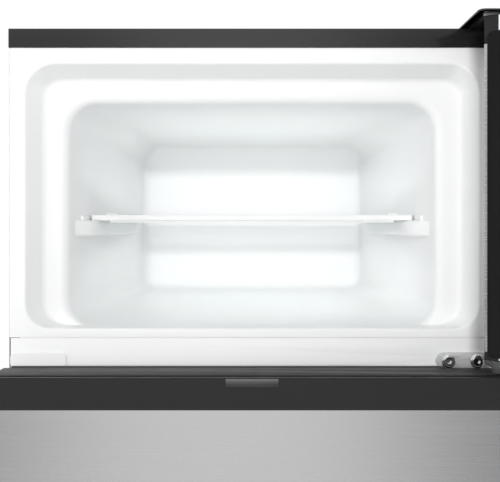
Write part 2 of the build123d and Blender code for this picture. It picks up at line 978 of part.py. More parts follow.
def door_top_cap(top, lip):
    """A door's hollow top end, with a raised lip at the front and the bore for a hinge pin."""
    bottom = top - top_cap_height
    back = door_inner - liner_wall
    with BuildPart() as cap:
        extrude(door_outline(0, back, bottom), amount=top_cap_height + lip)
        fillet(cap.faces().sort_by(Axis.Z)[-1].edges(), cap_lip / 2)
        block(
            (-half_width, half_width),
            (door_front + cap_lip_depth, back),
            (top, top + lip),
            mode=Mode.SUBTRACT,
        )
        block(
            (cap_wall - half_width, half_width - cap_wall),
            (door_front + cap_wall, back - cap_wall),
            (bottom, top - cap_wall),
            mode=Mode.SUBTRACT,
        )
        upright_rod((bottom, top), boss_radius)
        upright_rod((top - pin_engagement - bore_spare, top), bore_radius, mode=Mode.SUBTRACT)
    return cap.part


def door_bottom_cap(bottom):
    """A door's bottom end, with a boss that takes the hinge pin below it."""
    boss_top = bottom + pin_engagement + bore_spare + boss_wall
    with BuildPart() as cap:
        extrude(door_outline(0, door_inner - liner_wall, bottom), amount=bottom_cap_height)
        fillet(cap.faces().sort_by(Axis.Z)[0].edges(), cap_lip / 2)
        upright_rod((bottom, boss_top), boss_radius)
        upright_rod((bottom, boss_top - boss_wall), bore_radius, mode=Mode.SUBTRACT)
    return cap.part, boss_top


def door_rack(half, bottom, height):
    """An open bin between the sides of a door's dyke."""
    far = door_inner + rack_reach
    with BuildPart() as rack:
        for inset, level, mode in ((0, bottom, Mode.ADD), (rack_wall, bottom + rack_wall, Mode.SUBTRACT)):
            with BuildSketch(Plane.XY.offset(level)) as outline:
                with Locations((0, (door_inner + far) / 2)):
                    Rectangle(2 * (half - inset), rack_reach - 2 * inset)
                fillet(outline.vertices().group_by(Axis.Y)[-1], rack_radius - inset)
            extrude(outline.sketch, amount=height, mode=mode)
    return rack.part


for prefix, write, bottom, top, lip, gasket_top, dyke_z, wall in (
    (
        "freezer_door",
        finish_open,
        freezer_door_bottom,
        freezer_door_top,
        cap_lip,
        trim_bottom - gasket_from_trim,
        (ring_bottom + dyke_clearance, ring_top - step_run - dyke_clearance),
        wall_half,
    ),
    (
        "fridge_door",
        finish,
        fridge_door_bottom,
        fridge_door_top,
        front_cap_lip,
        fridge_door_top - gasket_from_end,
        (
            fridge_ring_bottom + step_run + dyke_clearance,
            fridge_ring_top - step_run - dyke_clearance,
        ),
        fridge_wall_half,
    ),
):
    skin_z = (bottom + bottom_cap_height, top - top_cap_height)
    dyke_sizes = (step_half - dyke_clearance, dyke_z, wall - rack_swing)
    bottom_cap, boss_top = door_bottom_cap(bottom)
    write(door_skin(skin_z), f"{prefix}_skin")
    write(door_foam(skin_z, boss_top, *dyke_sizes), f"{prefix}_foam")
    write(door_liner((bottom, top), *dyke_sizes), f"{prefix}_liner")
    write(door_gasket((bottom + gasket_from_end, gasket_top)), f"{prefix}_gasket")
    write(door_top_cap(top, lip), f"{prefix}_top_cap")
    write(bottom_cap, f"{prefix}_bottom_cap")
    rack_floor = dyke_z[0] + dyke_width + dyke_round
    rack_ceiling = dyke_z[1] - dyke_width
    if prefix == "freezer_door":
        racks = (
            ("lower_rack", rack_floor, freezer_rack_height),
            ("upper_rack", rack_ceiling - freezer_rack_drop, freezer_rack_height),
        )
    else:
        upper_floor = rack_ceiling - fridge_rack_drop
        middle_floor = (rack_floor + bottle_rack_height + upper_floor - fridge_rack_height) / 2
        racks = (
            ("bottle_rack", rack_floor, bottle_rack_height),
            ("middle_rack", middle_floor, fridge_rack_height),
            ("upper_rack", upper_floor, fridge_rack_height),
        )
    for name, floor, height in racks:
        write(door_rack(wall - rack_swing, floor, height), f"{prefix}_{name}")

tab_top = fridge_door_top + front_cap_lip - cap_lip / 2
tab_sides = (-tab_width / 2, tab_width / 2)
with BuildPart() as door_cap_tab:
    block(tab_sides, (door_front - tab_proud, door_front), (tab_top - tab_height, tab_top))
    for drop in tab_groove_drops:
        block(
            tab_sides,
            (door_front - tab_proud, door_front - tab_proud + tab_groove),
            (tab_top - drop - tab_groove, tab_top - drop + tab_groove),
            mode=Mode.SUBTRACT,
        )
finish(door_cap_tab.part, "door_cap_tab")

# ---------------------------------------------------------------- freezer shelf
rail_half = freezer_wall_at(freezer_shelf_front) - freezer_rail_gap
glass_half = freezer_wall_at(freezer_shelf_back) - freezer_glass_gap
lip_half = freezer_wall_at(freezer_shelf_front) - support_width - freezer_rail_gap


def freezer_shelf_plate(mode=Mode.ADD):
    """The freezer shelf's glass."""
    block(
        (-glass_half, glass_half),
        (freezer_shelf_front + shelf_trim_bite, freezer_shelf_back),
        (shelf_level, shelf_level + glass),
        mode=mode,
    )


with BuildPart() as freezer_shelf_glass:
    freezer_shelf_plate()
finish(freezer_shelf_glass.part, "freezer_shelf_glass")

rail_back = freezer_shelf_front + freezer_rail_depth
with BuildPart() as freezer_shelf_rail:
    block(
        (-rail_half, rail_half),
        (freezer_shelf_front, rail_back),
        (shelf_level, shelf_level + freezer_rail_height),
    )
    fillet(freezer_shelf_rail.faces().sort_by(Axis.Y)[0].edges(), small_round)
    block(
        (-lip_half, lip_half),
        (freezer_shelf_front + freezer_rail_lip, freezer_shelf_front + 2 * freezer_rail_lip),
        (shelf_level - freezer_rail_lip, shelf_level),
    )
    freezer_shelf_plate(mode=Mode.SUBTRACT)
finish(freezer_shelf_rail.part, "freezer_shelf_rail")

# ---------------------------------------------------------------- refrigerator shelves
fridge_glass_half = fridge_wall_at(shelf_back) - shelf_side_gap


def fridge_glass(level, mode=Mode.ADD):
    """One shelf glass of the refrigerator space."""
    block(
        (-fridge_glass_half, fridge_glass_half),
        (shelf_front + shelf_trim_depth - shelf_trim_bite, shelf_back),
        (level, level + glass),
        mode=mode,
    )


with BuildPart() as fridge_shelf_glasses:
    for level in shelf_levels:
        fridge_glass(level)
finish(fridge_shelf_glasses.part, "fridge_shelf_glasses")

with BuildPart() as crisper_cover:
    fridge_glass(crisper_cover_level)
finish(crisper_cover.part, "crisper_cover")

with BuildPart() as fridge_shelf_trims:
    for level in (crisper_cover_level, *shelf_levels):
        block(
            (-fridge_glass_half, fridge_glass_half),
            (shelf_front, shelf_front + shelf_trim_depth),
            (level + glass / 2 - shelf_trim_height / 2, level + glass / 2 + shelf_trim_height / 2),
        )
    fillet(fridge_shelf_trims.edges().filter_by(Axis.X).group_by(Axis.Y)[0], 2)
    for level in (crisper_cover_level, *shelf_levels):
        fridge_glass(level, mode=Mode.SUBTRACT)
finish(fridge_shelf_trims.part, "fridge_shelf_trims")

# ---------------------------------------------------------------- crisper drawer
crisper_back = hump_depth - crisper_gap
crisper_half = fridge_wall_at(crisper_back) - crisper_gap
crisper_top = crisper_cover_level + glass / 2 - shelf_trim_height - rib_height / 2
crisper_bottom = fridge_floor + 2
with BuildPart() as crisper_drawer:
    extrude(
        outline_at(
            crisper_front, crisper_half, (crisper_bottom, crisper_top), crisper_wall, crisper_radius
        ),
        amount=crisper_front - crisper_back,
    )
    block(
        (-crisper_grip_width / 2, crisper_grip_width / 2),
        (crisper_front - crisper_grip, crisper_front),
        (crisper_top - 2 * crisper_grip, crisper_top),
    )
    fillet(crisper_drawer.edges().filter_by(Axis.X).group_by(Axis.Y)[0], edge_round)
    extrude(
        outline_at(
            crisper_front + crisper_wall,
            crisper_half - crisper_wall,
            (crisper_bottom + crisper_wall, crisper_top + crisper_radius),
            crisper_wall,
            crisper_radius - crisper_wall,
        ),
        amount=crisper_front - crisper_back + 2 * crisper_wall,
        mode=Mode.SUBTRACT,
    )
finish(crisper_drawer.part, "crisper_drawer")

# ---------------------------------------------------------------- thermostat, lamp and door switch
switch_tip = door_inner + dyke_depth + switch_gap
switch_level = fridge_ring_top - step_run - dyke_clearance - dyke_width / 2
with BuildPart() as thermostat_housing:
    block((housing_left, housing_right), (housing_front, housing_back), (housing_bottom, fridge_ceiling))
    fillet(thermostat_housing.faces().sort_by(Axis.Z)[0].edges(), housing_round)
    block(
        (lamp_left, lamp_left + lamp_width),
        (lamp_start, lamp_start + lamp_depth),
        (housing_bottom, fridge_ceiling - lens_height),
        mode=Mode.SUBTRACT,
    )
    rod(
        (knob_x, housing_front, housing_middle),
        (knob_x, housing_front + knob_shaft_length + 1, housing_middle),
        knob_shaft_radius + pin_clearance,
        mode=Mode.SUBTRACT,
    )
    rod(
        (switch_x, housing_front, switch_level),
        (switch_x, switch_tip + switch_length + 1, switch_level),
        switch_radius + pin_clearance,
        mode=Mode.SUBTRACT,
    )
finish(thermostat_housing.part, "thermostat_housing")

with BuildPart() as thermostat_knob:
    knob_back = housing_front - knob_gap
    rod(
        (knob_x, knob_back - knob_depth, housing_middle),
        (knob_x, knob_back, housing_middle),
        knob_radius,
    )
    fillet(thermostat_knob.faces().sort_by(Axis.Y)[0].edges(), 2)
    block(
        (knob_x - knob_grip, knob_x + knob_grip),
        (knob_back - knob_depth - knob_grip, knob_back - knob_depth + 1),
        (housing_middle - knob_radius + knob_grip, housing_middle + knob_radius - knob_grip),
    )
    rod(
        (knob_x, knob_back - 1, housing_middle),
        (knob_x, housing_front + knob_shaft_length, housing_middle),
        knob_shaft_radius,
    )
finish(thermostat_knob.part, "thermostat_knob")

with BuildPart() as door_switch_button:
    rod((switch_x, switch_tip, switch_level), (switch_x, switch_tip + switch_length, switch_level),
        switch_radius)
    fillet(door_switch_button.edges().sort_by(Axis.Y)[0], small_round)
finish(door_switch_button.part, "door_switch_button")

lamp_x = lamp_left + lamp_width / 2
lamp_level = housing_bottom + lamp_radius + lamp_gap
lamp_back = lamp_start + lamp_depth
bulb_back = lamp_back - lamp_base
with BuildPart() as lamp:
    rod((lamp_x, lamp_start + lamp_from_end, lamp_level), (lamp_x, bulb_back, lamp_level), lamp_radius)
    fillet(lamp.edges().sort_by(Axis.Y)[0], lamp_radius - 1)
    rod((lamp_x, bulb_back, lamp_level), (lamp_x, lamp_back, lamp_level), lamp_radius - 2)
finish(lamp.part, "lamp")

with BuildPart() as lamp_lens:
    block(
        (lamp_left - lens_wall, lamp_left + lamp_width + lens_wall),
        (lamp_start - lens_wall, lamp_back + lens_wall),
        (housing_bottom - lens_height, housing_bottom),
    )
    fillet(lamp_lens.faces().sort_by(Axis.Z)[0].edges(), edge_round)
    block(
        (lamp_left, lamp_left + lamp_width),
        (lamp_start, lamp_back),
        (housing_bottom - lens_height + lens_wall, housing_bottom),
        mode=Mode.SUBTRACT,
    )
finish(lamp_lens.part, "lamp_lens")

# ---------------------------------------------------------------- feet, rollers and toe grille
for name, side in (("levelling_foot_left", -1), ("levelling_foot_right", 1)):
    with BuildPart() as levelling_foot:
        rod(
            (side * foot_x, foot_from_front, 0),
            (side * foot_x, foot_from_front, foot_height),
            foot_radius,
        )
        chamfer(levelling_foot.faces().sort_by(Axis.Z)[-1].edges(), edge_round)
        rod(
            (side * foot_x, foot_from_front, foot_height),
            (side * foot_x, foot_from_front, foot_stem_top),
            foot_stem_radius,
        )
    finish(levelling_foot.part, name)

for name, side in (("rear_roller_left", -1), ("rear_roller_right", 1)):
    with BuildPart() as rear_roller:
        left = (side * roller_x - roller_width / 2, roller_y, roller_radius)
        right = (side * roller_x + roller_width / 2, roller_y, roller_radius)
        rod(left, right, roller_radius)
        fillet(rear_roller.edges(), small_round)
        rod(left, right, axle_radius + roller_clearance, mode=Mode.SUBTRACT)
    finish(rear_roller.part, name)

axle_reach = ear_offset + ear_wall + 1
with BuildPart() as roller_axles:
    for side in (-1, 1):
        rod(
            (side * roller_x - axle_reach, roller_y, roller_radius),
            (side * roller_x + axle_reach, roller_y, roller_radius),
            axle_radius,
        )
finish(roller_axles.part, "roller_axles")

grille_top = rail_top - grille_wall
grille_left = grille_gap - half_width
grille_right = bolt_inner_x - bolt_head_radius - plate_wall - grille_gap
slot_pitch = (grille_top - grille_bottom) / (grille_slots + 1)
with BuildPart() as toe_grille:
    block((grille_left, grille_right), (web_front - grille_depth, web_front), (grille_bottom, grille_top))
    fillet(toe_grille.faces().sort_by(Axis.Y)[0].edges(), grille_wall)
    block(
        (grille_left + grille_wall, grille_right - grille_wall),
        (web_front - grille_depth + grille_wall, web_front),
        (grille_bottom + grille_wall, grille_top - grille_wall),
        mode=Mode.SUBTRACT,
    )
    for row in range(1, grille_slots + 1):
        level = grille_bottom + row * slot_pitch
        block(
            (grille_left + grille_margin, grille_right - grille_margin),
            (web_front - grille_depth, web_front),
            (level - grille_slot_height / 2, level + grille_slot_height / 2),
            mode=Mode.SUBTRACT,
        )
finish(toe_grille.part, "toe_grille")

# ---------------------------------------------------------------- compressor and its bay
compressor_y = cabinet_depth - compressor_from_back
bay_floor = bay_plate_level + rail_wall
strap_level = bay_floor + grommet_height
shell_bottom = strap_level + 2 * rail_wall
shell_top = shell_bottom + compressor_height
strap_places = [
    (compressor_x + side * strap_spacing / 2, compressor_y + end * grommet_from_middle)
    for side in (-1, 1)
    for end in (-1, 1)
]
with BuildPart() as compressor:
    with BuildSketch(Plane.XY.offset(shell_bottom)):
        with Locations((compressor_x, compressor_y)):
            SlotOverall(compressor_length, compressor_width)
    extrude(amount=compressor_height)
    fillet(compressor.faces().filter_by(Axis.Z).edges(), compressor_round)
    with BuildSketch(Plane.XY.offset(shell_bottom + compressor_height / 2)):
        with Locations((compressor_x, compressor_y)):
            SlotOverall(compressor_length + 2 * weld_rim, compressor_width + 2 * weld_rim)
    extrude(amount=weld_rim)
    for side in (-1, 1):
        middle = compressor_x + side * strap_spacing / 2
        block(
            (middle - strap_width / 2, middle + strap_width / 2),
            (compressor_y - compressor_width / 2, compressor_y + compressor_width / 2),
            (strap_level, strap_level + rail_wall),
        )
        block(
            (middle - strap_web / 2, middle + strap_web / 2),
            (compressor_y - strap_width, compressor_y + strap_width),
            (strap_level, shell_bottom + compressor_round),
        )
finish(compressor.part, "compressor")

with BuildPart() as compressor_grommets:
    with Locations(*[(x, y, bay_floor + grommet_height / 2) for x, y in strap_places]):
        Cylinder(grommet_radius, grommet_height)
    chamfer(compressor_grommets.faces().group_by(Axis.Z)[-1].edges(), 2)
finish(compressor_grommets.part, "compressor_grommets")

relay_middle = shell_bottom + relay_rise
relay_right = compressor_x - compressor_length / 2 + relay_bite
with BuildPart() as start_relay_box:
    block(
        (relay_right - relay_width, relay_right),
        (compressor_y - relay_depth / 2, compressor_y + relay_depth / 2),
        (relay_middle - relay_height / 2, relay_middle + relay_height / 2),
    )
    fillet(start_relay_box.faces().sort_by(Axis.X)[0].edges(), relay_round)
    add(compressor.part, mode=Mode.SUBTRACT)
finish(start_relay_box.part, "start_relay_box")

with BuildPart() as drain_pan:
    for inset, mode in ((0, Mode.ADD), (pan_wall, Mode.SUBTRACT)):
        with BuildSketch(Plane.XY.offset(shell_top + inset)):
            with Locations((compressor_x, compressor_y)):
                RectangleRounded(
                    pan_length - 2 * inset, pan_width - 2 * inset, pan_radius - inset
                )
        extrude(amount=pan_height, mode=mode)
finish(drain_pan.part, "drain_pan")

# ---------------------------------------------------------------- condenser and pipes
wire_step = 2 * condenser_half / (condenser_wires + 1)
wire_offset = condenser_tube + condenser_wire + wire_gap
condenser_coil = serpentine(
    condenser_half,
    condenser_plane,
    condenser_bottom,
    condenser_pitch,
    condenser_passes,
    condenser_tube,
)
with BuildPart() as condenser:
    add(condenser_coil)
    for wire in range(condenser_wires):
        x = (wire + 1) * wire_step - condenser_half
        y = condenser_plane + (wire_offset if wire % 2 else -wire_offset)
        rod(
            (x, y, condenser_bottom - wire_overhang),
            (x, y, condenser_top + wire_overhang),
            condenser_wire,
        )
    # Four feet hold the coil off the back panel, each between two of the nearer wires.
    for side in (-1, 1):
        x = side * (condenser_half - (clip_from_side + 1) * wire_step)
        for level in (
            condenser_bottom + clip_from_end * condenser_pitch,
            condenser_top - clip_from_end * condenser_pitch,
        ):
            block(
                (x - wire_step / 2, x + wire_step / 2),
                (cabinet_depth, condenser_plane),
                (level - clip_half, level + clip_half),
            )
finish(condenser.part, "condenser")

# Hot gas leaves the compressor, runs round the coil's left side and enters it at the top. The
# coil's outlet goes down through the filter drier and back up to the capillary's entry, and the
# return line comes out of the back panel beside it.
pipe_x = condenser_half + pipe_from_coil
pipe_level = shell_bottom + pipe_rise
pipe_top = condenser_top + pipe_over_coil
drier_top = bay_height - drier_drop
drier_bottom = drier_top - drier_length
compressor_back = compressor_y + compressor_width / 2
outlet_x = compressor_x - outlet_offset
return_x = compressor_x + return_offset
with BuildPart() as refrigerant_pipes:
    for points in (
        [
            (outlet_x, compressor_back, pipe_level),
            (outlet_x, condenser_plane, pipe_level),
            (-pipe_x, condenser_plane, pipe_level),
            (-pipe_x, condenser_plane, pipe_top),
            (pipe_x, condenser_plane, pipe_top),
            (pipe_x, condenser_plane, condenser_top),
            (condenser_half, condenser_plane, condenser_top),
        ],
        [
            (condenser_half, condenser_plane, condenser_bottom),
            (pipe_x, condenser_plane, condenser_bottom),
            (pipe_x, condenser_plane, pipe_level),
            (capillary_x, condenser_plane, pipe_level),
            (capillary_x, condenser_plane, return_level),
            (capillary_x, cabinet_depth, return_level),
        ],
        [
            (return_x, compressor_back, pipe_level),
            (return_x, condenser_plane, pipe_level),
            (return_x, condenser_plane, return_level),
            (return_x, cabinet_depth, return_level),
        ],
    ):
        add(tube(points, [copper_bend] * (len(points) - 2), copper_tube))
    rod(
        (pipe_x, condenser_plane, drier_bottom),
        (pipe_x, condenser_plane, drier_top),
        drier_radius,
    )
finish(refrigerant_pipes.part, "refrigerant_pipes")

with BuildPart() as cord_gland:
    rod(
        (gland_x, cabinet_depth, gland_level),
        (gland_x, cabinet_depth + gland_length, gland_level),
        gland_radius,
    )
    fillet(cord_gland.faces().sort_by(Axis.Y)[-1].edges(), 2)
    rod(
        (gland_x, cabinet_depth, gland_level),
        (gland_x, cabinet_depth + gland_length, gland_level),
        gland_bore,
        mode=Mode.SUBTRACT,
    )
finish(cord_gland.part, "cord_gland")
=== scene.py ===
"""The looks of a two-door refrigerator with its freezer on top, built on the measured assembly.

Lengths are metres. X runs to the right, Y to the back and Z up, and the cabinet's front is Y = 0.
"""

import json
import logging
import math
from contextlib import contextmanager
from dataclasses import dataclass, field
from enum import Enum
from typing import Callable, Iterator, NamedTuple, Optional, Sequence, Union

import bmesh
import bpy
from mathutils import Matrix, Vector

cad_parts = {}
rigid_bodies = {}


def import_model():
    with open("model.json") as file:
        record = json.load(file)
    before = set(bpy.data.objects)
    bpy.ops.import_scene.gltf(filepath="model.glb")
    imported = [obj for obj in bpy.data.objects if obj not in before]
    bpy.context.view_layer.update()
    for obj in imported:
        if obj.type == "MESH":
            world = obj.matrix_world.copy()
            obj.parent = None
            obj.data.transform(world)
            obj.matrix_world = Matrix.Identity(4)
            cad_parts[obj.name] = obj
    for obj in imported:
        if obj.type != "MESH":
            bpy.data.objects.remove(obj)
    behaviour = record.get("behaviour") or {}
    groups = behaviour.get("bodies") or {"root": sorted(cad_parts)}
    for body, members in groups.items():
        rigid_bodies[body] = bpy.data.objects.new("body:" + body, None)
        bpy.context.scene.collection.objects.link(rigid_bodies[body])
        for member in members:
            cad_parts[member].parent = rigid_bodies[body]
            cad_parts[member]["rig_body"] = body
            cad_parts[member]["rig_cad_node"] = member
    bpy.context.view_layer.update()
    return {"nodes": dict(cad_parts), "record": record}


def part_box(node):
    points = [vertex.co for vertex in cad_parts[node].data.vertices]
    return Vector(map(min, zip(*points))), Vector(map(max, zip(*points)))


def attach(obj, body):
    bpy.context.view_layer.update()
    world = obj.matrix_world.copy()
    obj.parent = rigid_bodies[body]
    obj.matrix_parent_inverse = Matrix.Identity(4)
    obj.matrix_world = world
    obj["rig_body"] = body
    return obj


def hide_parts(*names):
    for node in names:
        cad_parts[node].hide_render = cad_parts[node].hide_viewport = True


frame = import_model()
log = logging.getLogger("refrigerator")

Triple = tuple[float, float, float]
Span = tuple[float, float]
Value = Union["Signal", float, Sequence[float]]
Thing = bpy.types.Object
Test = Callable[[Vector, Vector], bool]

SLOTS: dict[str, str] = {
    part["node"]: part["material_slot"] for part in frame["record"]["subparts"]
}
JOINTS: dict[str, dict] = {
    joint["name"]: joint for joint in frame["record"]["behaviour"]["joints"]
}
SHEET = 0.0015

# How close two places are to be merged, and to be picked together.
SAME = 1e-6
NEAR = 1e-5
# A unit direction runs along an axis from the first share of it and square to it up to the second.
ALONG = 0.9
SQUARE = 0.5
# The angle between faces from which an edge is rounded, and up to which it is dissolved.
SHARP = math.radians(40.0)
FLAT = math.radians(1.0)

# The wave texture draws this many bands a metre at scale 1.
WAVE_BANDS = 3.2


# ---------------------------------------------------------------- shader expressions
class Signal:
    """A node's output, which can be used in arithmetic."""

    def __init__(self, graph: "Graph", socket: Optional[bpy.types.NodeSocket]) -> None:
        """Wraps an output socket of a graph."""
        self.graph = graph
        self.socket = socket

    def _math(self, operation: str, first: Value, second: Value) -> "Signal":
        """Adds one Math node."""
        return self.graph.node("ShaderNodeMath", {"operation": operation}, {0: first, 1: second})

    def __add__(self, other: Value) -> "Signal":
        """The sum with a value or another signal."""
        return self._math("ADD", self, other)

    def __sub__(self, other: Value) -> "Signal":
        """The difference from a value or another signal."""
        return self._math("SUBTRACT", self, other)

    def __rsub__(self, other: Value) -> "Signal":
        """A value less this signal."""
        return self._math("SUBTRACT", other, self)

    def __mul__(self, other: Value) -> "Signal":
        """The product with a value or another signal."""
        return self._math("MULTIPLY", self, other)

    __radd__ = __add__
    __rmul__ = __mul__

    def between(self, low: float, high: float) -> "Signal":
        """Rises smoothly from 0 at low to 1 at high.

        Args:
            low: Where the rise starts.
            high: Where the rise ends.

        Returns:
            The eased signal, from 0 to 1.
        """
        return self.graph.node(
            "ShaderNodeMapRange",
            {"interpolation_type": "SMOOTHSTEP"},
            {"Value": self, "From Min": low, "From Max": high},
        )


class Graph:
    """The nodes of one material or of the world."""

    def __init__(self, tree: bpy.types.NodeTree) -> None:
        """Empties a node tree and keeps it."""
        self.tree = tree
        tree.nodes.clear()

    def node(
        self,
        kind: str,
        settings: Optional[dict] = None,
        inputs: Optional[dict] = None,
        output: Union[int, str] = 0,
    ) -> Signal:
        """Adds any node.

        Args:
            kind: The node's type.
            settings: The node's own settings, set before its sockets.
            inputs: Values or signals by socket name or number.
            output: Which output is wanted.

        Returns:
            The chosen output, or an empty signal where the node has none.
        """
        made = self.tree.nodes.new(kind)
        for key, value in (settings or {}).items():
            setattr(made, key, value)
        for key, value in (inputs or {}).items():
            if isinstance(value, Signal):
                self.tree.links.new(value.socket, made.inputs[key])
            else:
                made.inputs[key].default_value = value
        return Signal(self, made.outputs[output] if made.outputs else None)

    def position(self, stretch: Triple = (1.0, 1.0, 1.0)) -> Signal:
        """The place on the piece, with each axis multiplied by its stretch."""
        place = self.node("ShaderNodeTexCoord", output="Object")
        return self.node("ShaderNodeMapping", {}, {"Vector": place, "Scale": stretch})

    def axis(self, name: str, place: str = "Object") -> Signal:
        """One coordinate of the place on the piece, or of a ray's direction."""
        found = self.node("ShaderNodeTexCoord", output=place)
        return self.node("ShaderNodeSeparateXYZ", {}, {0: found}, name)

    def noise(self, scale: float, detail: float = 2.0, stretch: Triple = (1.0, 1.0, 1.0)) -> Signal:
        """Cloudy noise, from 0 to 1.

        Args:
            scale: Features per metre.
            detail: How many finer layers are added.
            stretch: How much each axis counts.

        Returns:
            The noise's value.
        """
        inputs = {"Vector": self.position(stretch), "Scale": scale, "Detail": detail}
        return self.node("ShaderNodeTexNoise", {}, inputs)

    def cells(self, scale: float, output: str = "Distance") -> Signal:
        """Cells such as foam's bubbles or zinc's crystals."""
        inputs = {"Vector": self.position(), "Scale": scale}
        return self.node("ShaderNodeTexVoronoi", {}, inputs, output)

    def blend(self, factor: Value, first: Triple, second: Triple) -> Signal:
        """A colour between two others."""
        inputs = {0: factor, 6: (*first, 1.0), 7: (*second, 1.0)}
        return self.node("ShaderNodeMix", {"data_type": "RGBA"}, inputs, 2)

    def relief(self, height: Value, depth: float) -> Signal:
        """A surface normal for a height map of that many metres."""
        inputs = {"Height": height, "Distance": depth, "Strength": 1.0}
        return self.node("ShaderNodeBump", {}, inputs)

    def surface(self, values: dict[str, Value]) -> None:
        """Ends the graph in one shader."""
        shader = self.node("ShaderNodeBsdfPrincipled", {}, values)
        self.node("ShaderNodeOutputMaterial", {}, {"Surface": shader})


def shade(colour: Triple, factor: float) -> Triple:
    """A colour made lighter or darker."""
    return tuple(min(1.0, channel * factor) for channel in colour)


# ---------------------------------------------------------------- finishes
@dataclass(frozen=True)
class Finish:
    """A surface finish: its colour, its gloss and what varies over it.

    The clouds change the colour by the drift, and the specks change the roughness by the swing,
    which is a share of it.
    """

    name: str
    colour: Triple
    roughness: float
    metallic: float = 0.0
    coat: float = 0.0
    clearness: float = 0.0
    specular: float = 0.5
    drift: float = 0.03
    swing: float = 0.25
    clouds: float = 7.0
    specks: float = 45.0
    coat_roughness: float = 0.12

    def tint(self, graph: Graph, factor: Value, low: float, high: float) -> Signal:
        """The colour, passing from one shade of it to another."""
        return graph.blend(factor, shade(self.colour, low), shade(self.colour, high))

    def vary(self, graph: Graph) -> dict[str, Value]:
        """The sockets that change over the surface.

        Args:
            graph: The material's graph.

        Returns:
            The values by socket.
        """
        cloud = graph.noise(self.clouds)
        speck = graph.noise(self.specks, 4.0) - 0.5
        return {
            "Base Color": self.tint(graph, cloud, 1 - self.drift, 1 + self.drift),
            "Roughness": self.roughness + speck * self.swing * self.roughness,
        }

    def material(self) -> bpy.types.Material:
        """The finish as a Blender material, made once.

        Returns:
            The material.
        """
        name = f"{self.name}_finish"
        found = bpy.data.materials.get(name)
        if found:
            return found
        made = bpy.data.materials.new(name)
        made.use_nodes = True
        graph = Graph(made.node_tree)
        values: dict[str, Value] = {
            "Metallic": self.metallic,
            "Coat Weight": self.coat,
            "Coat Roughness": self.coat_roughness,
            "Specular IOR Level": self.specular,
            "Alpha": 1.0 - self.clearness,
        }
        values.update(self.vary(graph))
        graph.surface(values)
        return made


@dataclass(frozen=True)
class MouldedPlastic(Finish):
    """Moulded or vacuum-formed plastic with a fine grain."""

    grain: float = 900.0
    depth: float = 0.00001

    def vary(self, graph: Graph) -> dict[str, Value]:
        """Adds the mould's grain."""
        return {**super().vary(graph), "Normal": graph.relief(graph.noise(self.grain), self.depth)}


@dataclass(frozen=True)
class PaintedShadeAlongAxis(Finish):
    """Painted shade: a finish that passes into a second, lighter or darker colour along one axis,
    with a slightly ragged border.
    """

    second: Triple = (0.1, 0.1, 0.1)
    axis: str = "Z"
    border: Span = (0.0, 1.0)
    ragged: float = 0.0005
    frays: float = 300.0

    def vary(self, graph: Graph) -> dict[str, Value]:
        """Blends the two colours across the border.

        Args:
            graph: The material's graph.

        Returns:
            The values by socket.
        """
        place = graph.axis(self.axis) + (graph.noise(self.frays) - 0.5) * self.ragged
        tone = graph.blend(place.between(*self.border), self.colour, self.second)
        return {**super().vary(graph), "Base Color": tone}


@dataclass(frozen=True)
class PaintedSteel(Finish):
    """Powder-coated sheet with a pebbled skin."""

    pebble: float = 420.0
    depth: float = 0.00006
    contrast: Span = (0.9, 1.12)

    def vary(self, graph: Graph) -> dict[str, Value]:
        """Adds the pebbles, with painted shade: the colour a little darker in their hollows and
        lighter on their tops.
        """
        pebbles = graph.noise(self.pebble, 1.0).between(0.35, 0.65)
        return {
            **super().vary(graph),
            "Base Color": self.tint(graph, pebbles, *self.contrast),
            "Normal": graph.relief(pebbles, self.depth),
        }


@dataclass(frozen=True)
class BrushedSteel(Finish):
    """Stainless sheet brushed along the horizontal."""

    swing: float = 0.16
    lines: float = 2600.0
    drawn: Triple = (0.004, 0.004, 1.0)
    fine_share: float = 0.6
    broader: float = 6.0
    depth: float = 0.000004
    contrast: Span = (0.88, 1.1)

    def vary(self, graph: Graph) -> dict[str, Value]:
        """Adds long fine scratches.

        Args:
            graph: The material's graph.

        Returns:
            The values by socket.
        """
        fine = graph.noise(self.lines, 3.0, self.drawn)
        broad = graph.noise(self.lines / self.broader, 2.0, self.drawn)
        strokes = fine * self.fine_share + broad * (1 - self.fine_share)
        return {
            "Base Color": self.tint(graph, strokes, *self.contrast),
            "Roughness": self.roughness + (strokes - 0.5) * self.swing,
            "Normal": graph.relief(strokes, self.depth),
        }


@dataclass(frozen=True)
class ZincSheet(Finish):
    """Galvanised sheet with its crystal pattern."""

    swing: float = 0.2
    crystals: float = 85.0
    grain: float = 300.0
    depth: float = 0.00001
    contrast: Span = (0.82, 1.12)

    def vary(self, graph: Graph) -> dict[str, Value]:
        """Makes each crystal a little lighter or darker.

        Args:
            graph: The material's graph.

        Returns:
            The values by socket.
        """
        tones = {0: graph.cells(self.crystals, "Color")}
        crystal = graph.node("ShaderNodeSeparateColor", {}, tones, "Red")
        return {
            "Base Color": self.tint(graph, crystal, *self.contrast),
            "Roughness": self.roughness + (crystal - 0.5) * self.swing,
            "Normal": graph.relief(graph.noise(self.grain, 3.0), self.depth),
        }


@dataclass(frozen=True)
class Bubbled(Finish):
    """Cut foam or matt rubber, with pores."""

    pores: float = 900.0
    depth: float = 0.0002

    def vary(self, graph: Graph) -> dict[str, Value]:
        """Adds the pores."""
        return {**super().vary(graph), "Normal": graph.relief(graph.cells(self.pores), self.depth)}


@dataclass(frozen=True)
class Aged(Finish):
    """Bare metal that has toned unevenly."""

    toned: Triple = (0.30, 0.15, 0.09)
    blotches: float = 60.0
    grain: float = 500.0
    depth: float = 0.00001

    def vary(self, graph: Graph) -> dict[str, Value]:
        """Lets darker tone creep over the metal."""
        patches = graph.noise(self.blotches, 5.0).between(0.45, 0.8)
        return {
            "Base Color": graph.blend(patches, self.colour, self.toned),
            "Roughness": self.roughness + patches * self.swing,
            "Normal": graph.relief(graph.noise(self.grain, 3.0), self.depth),
        }


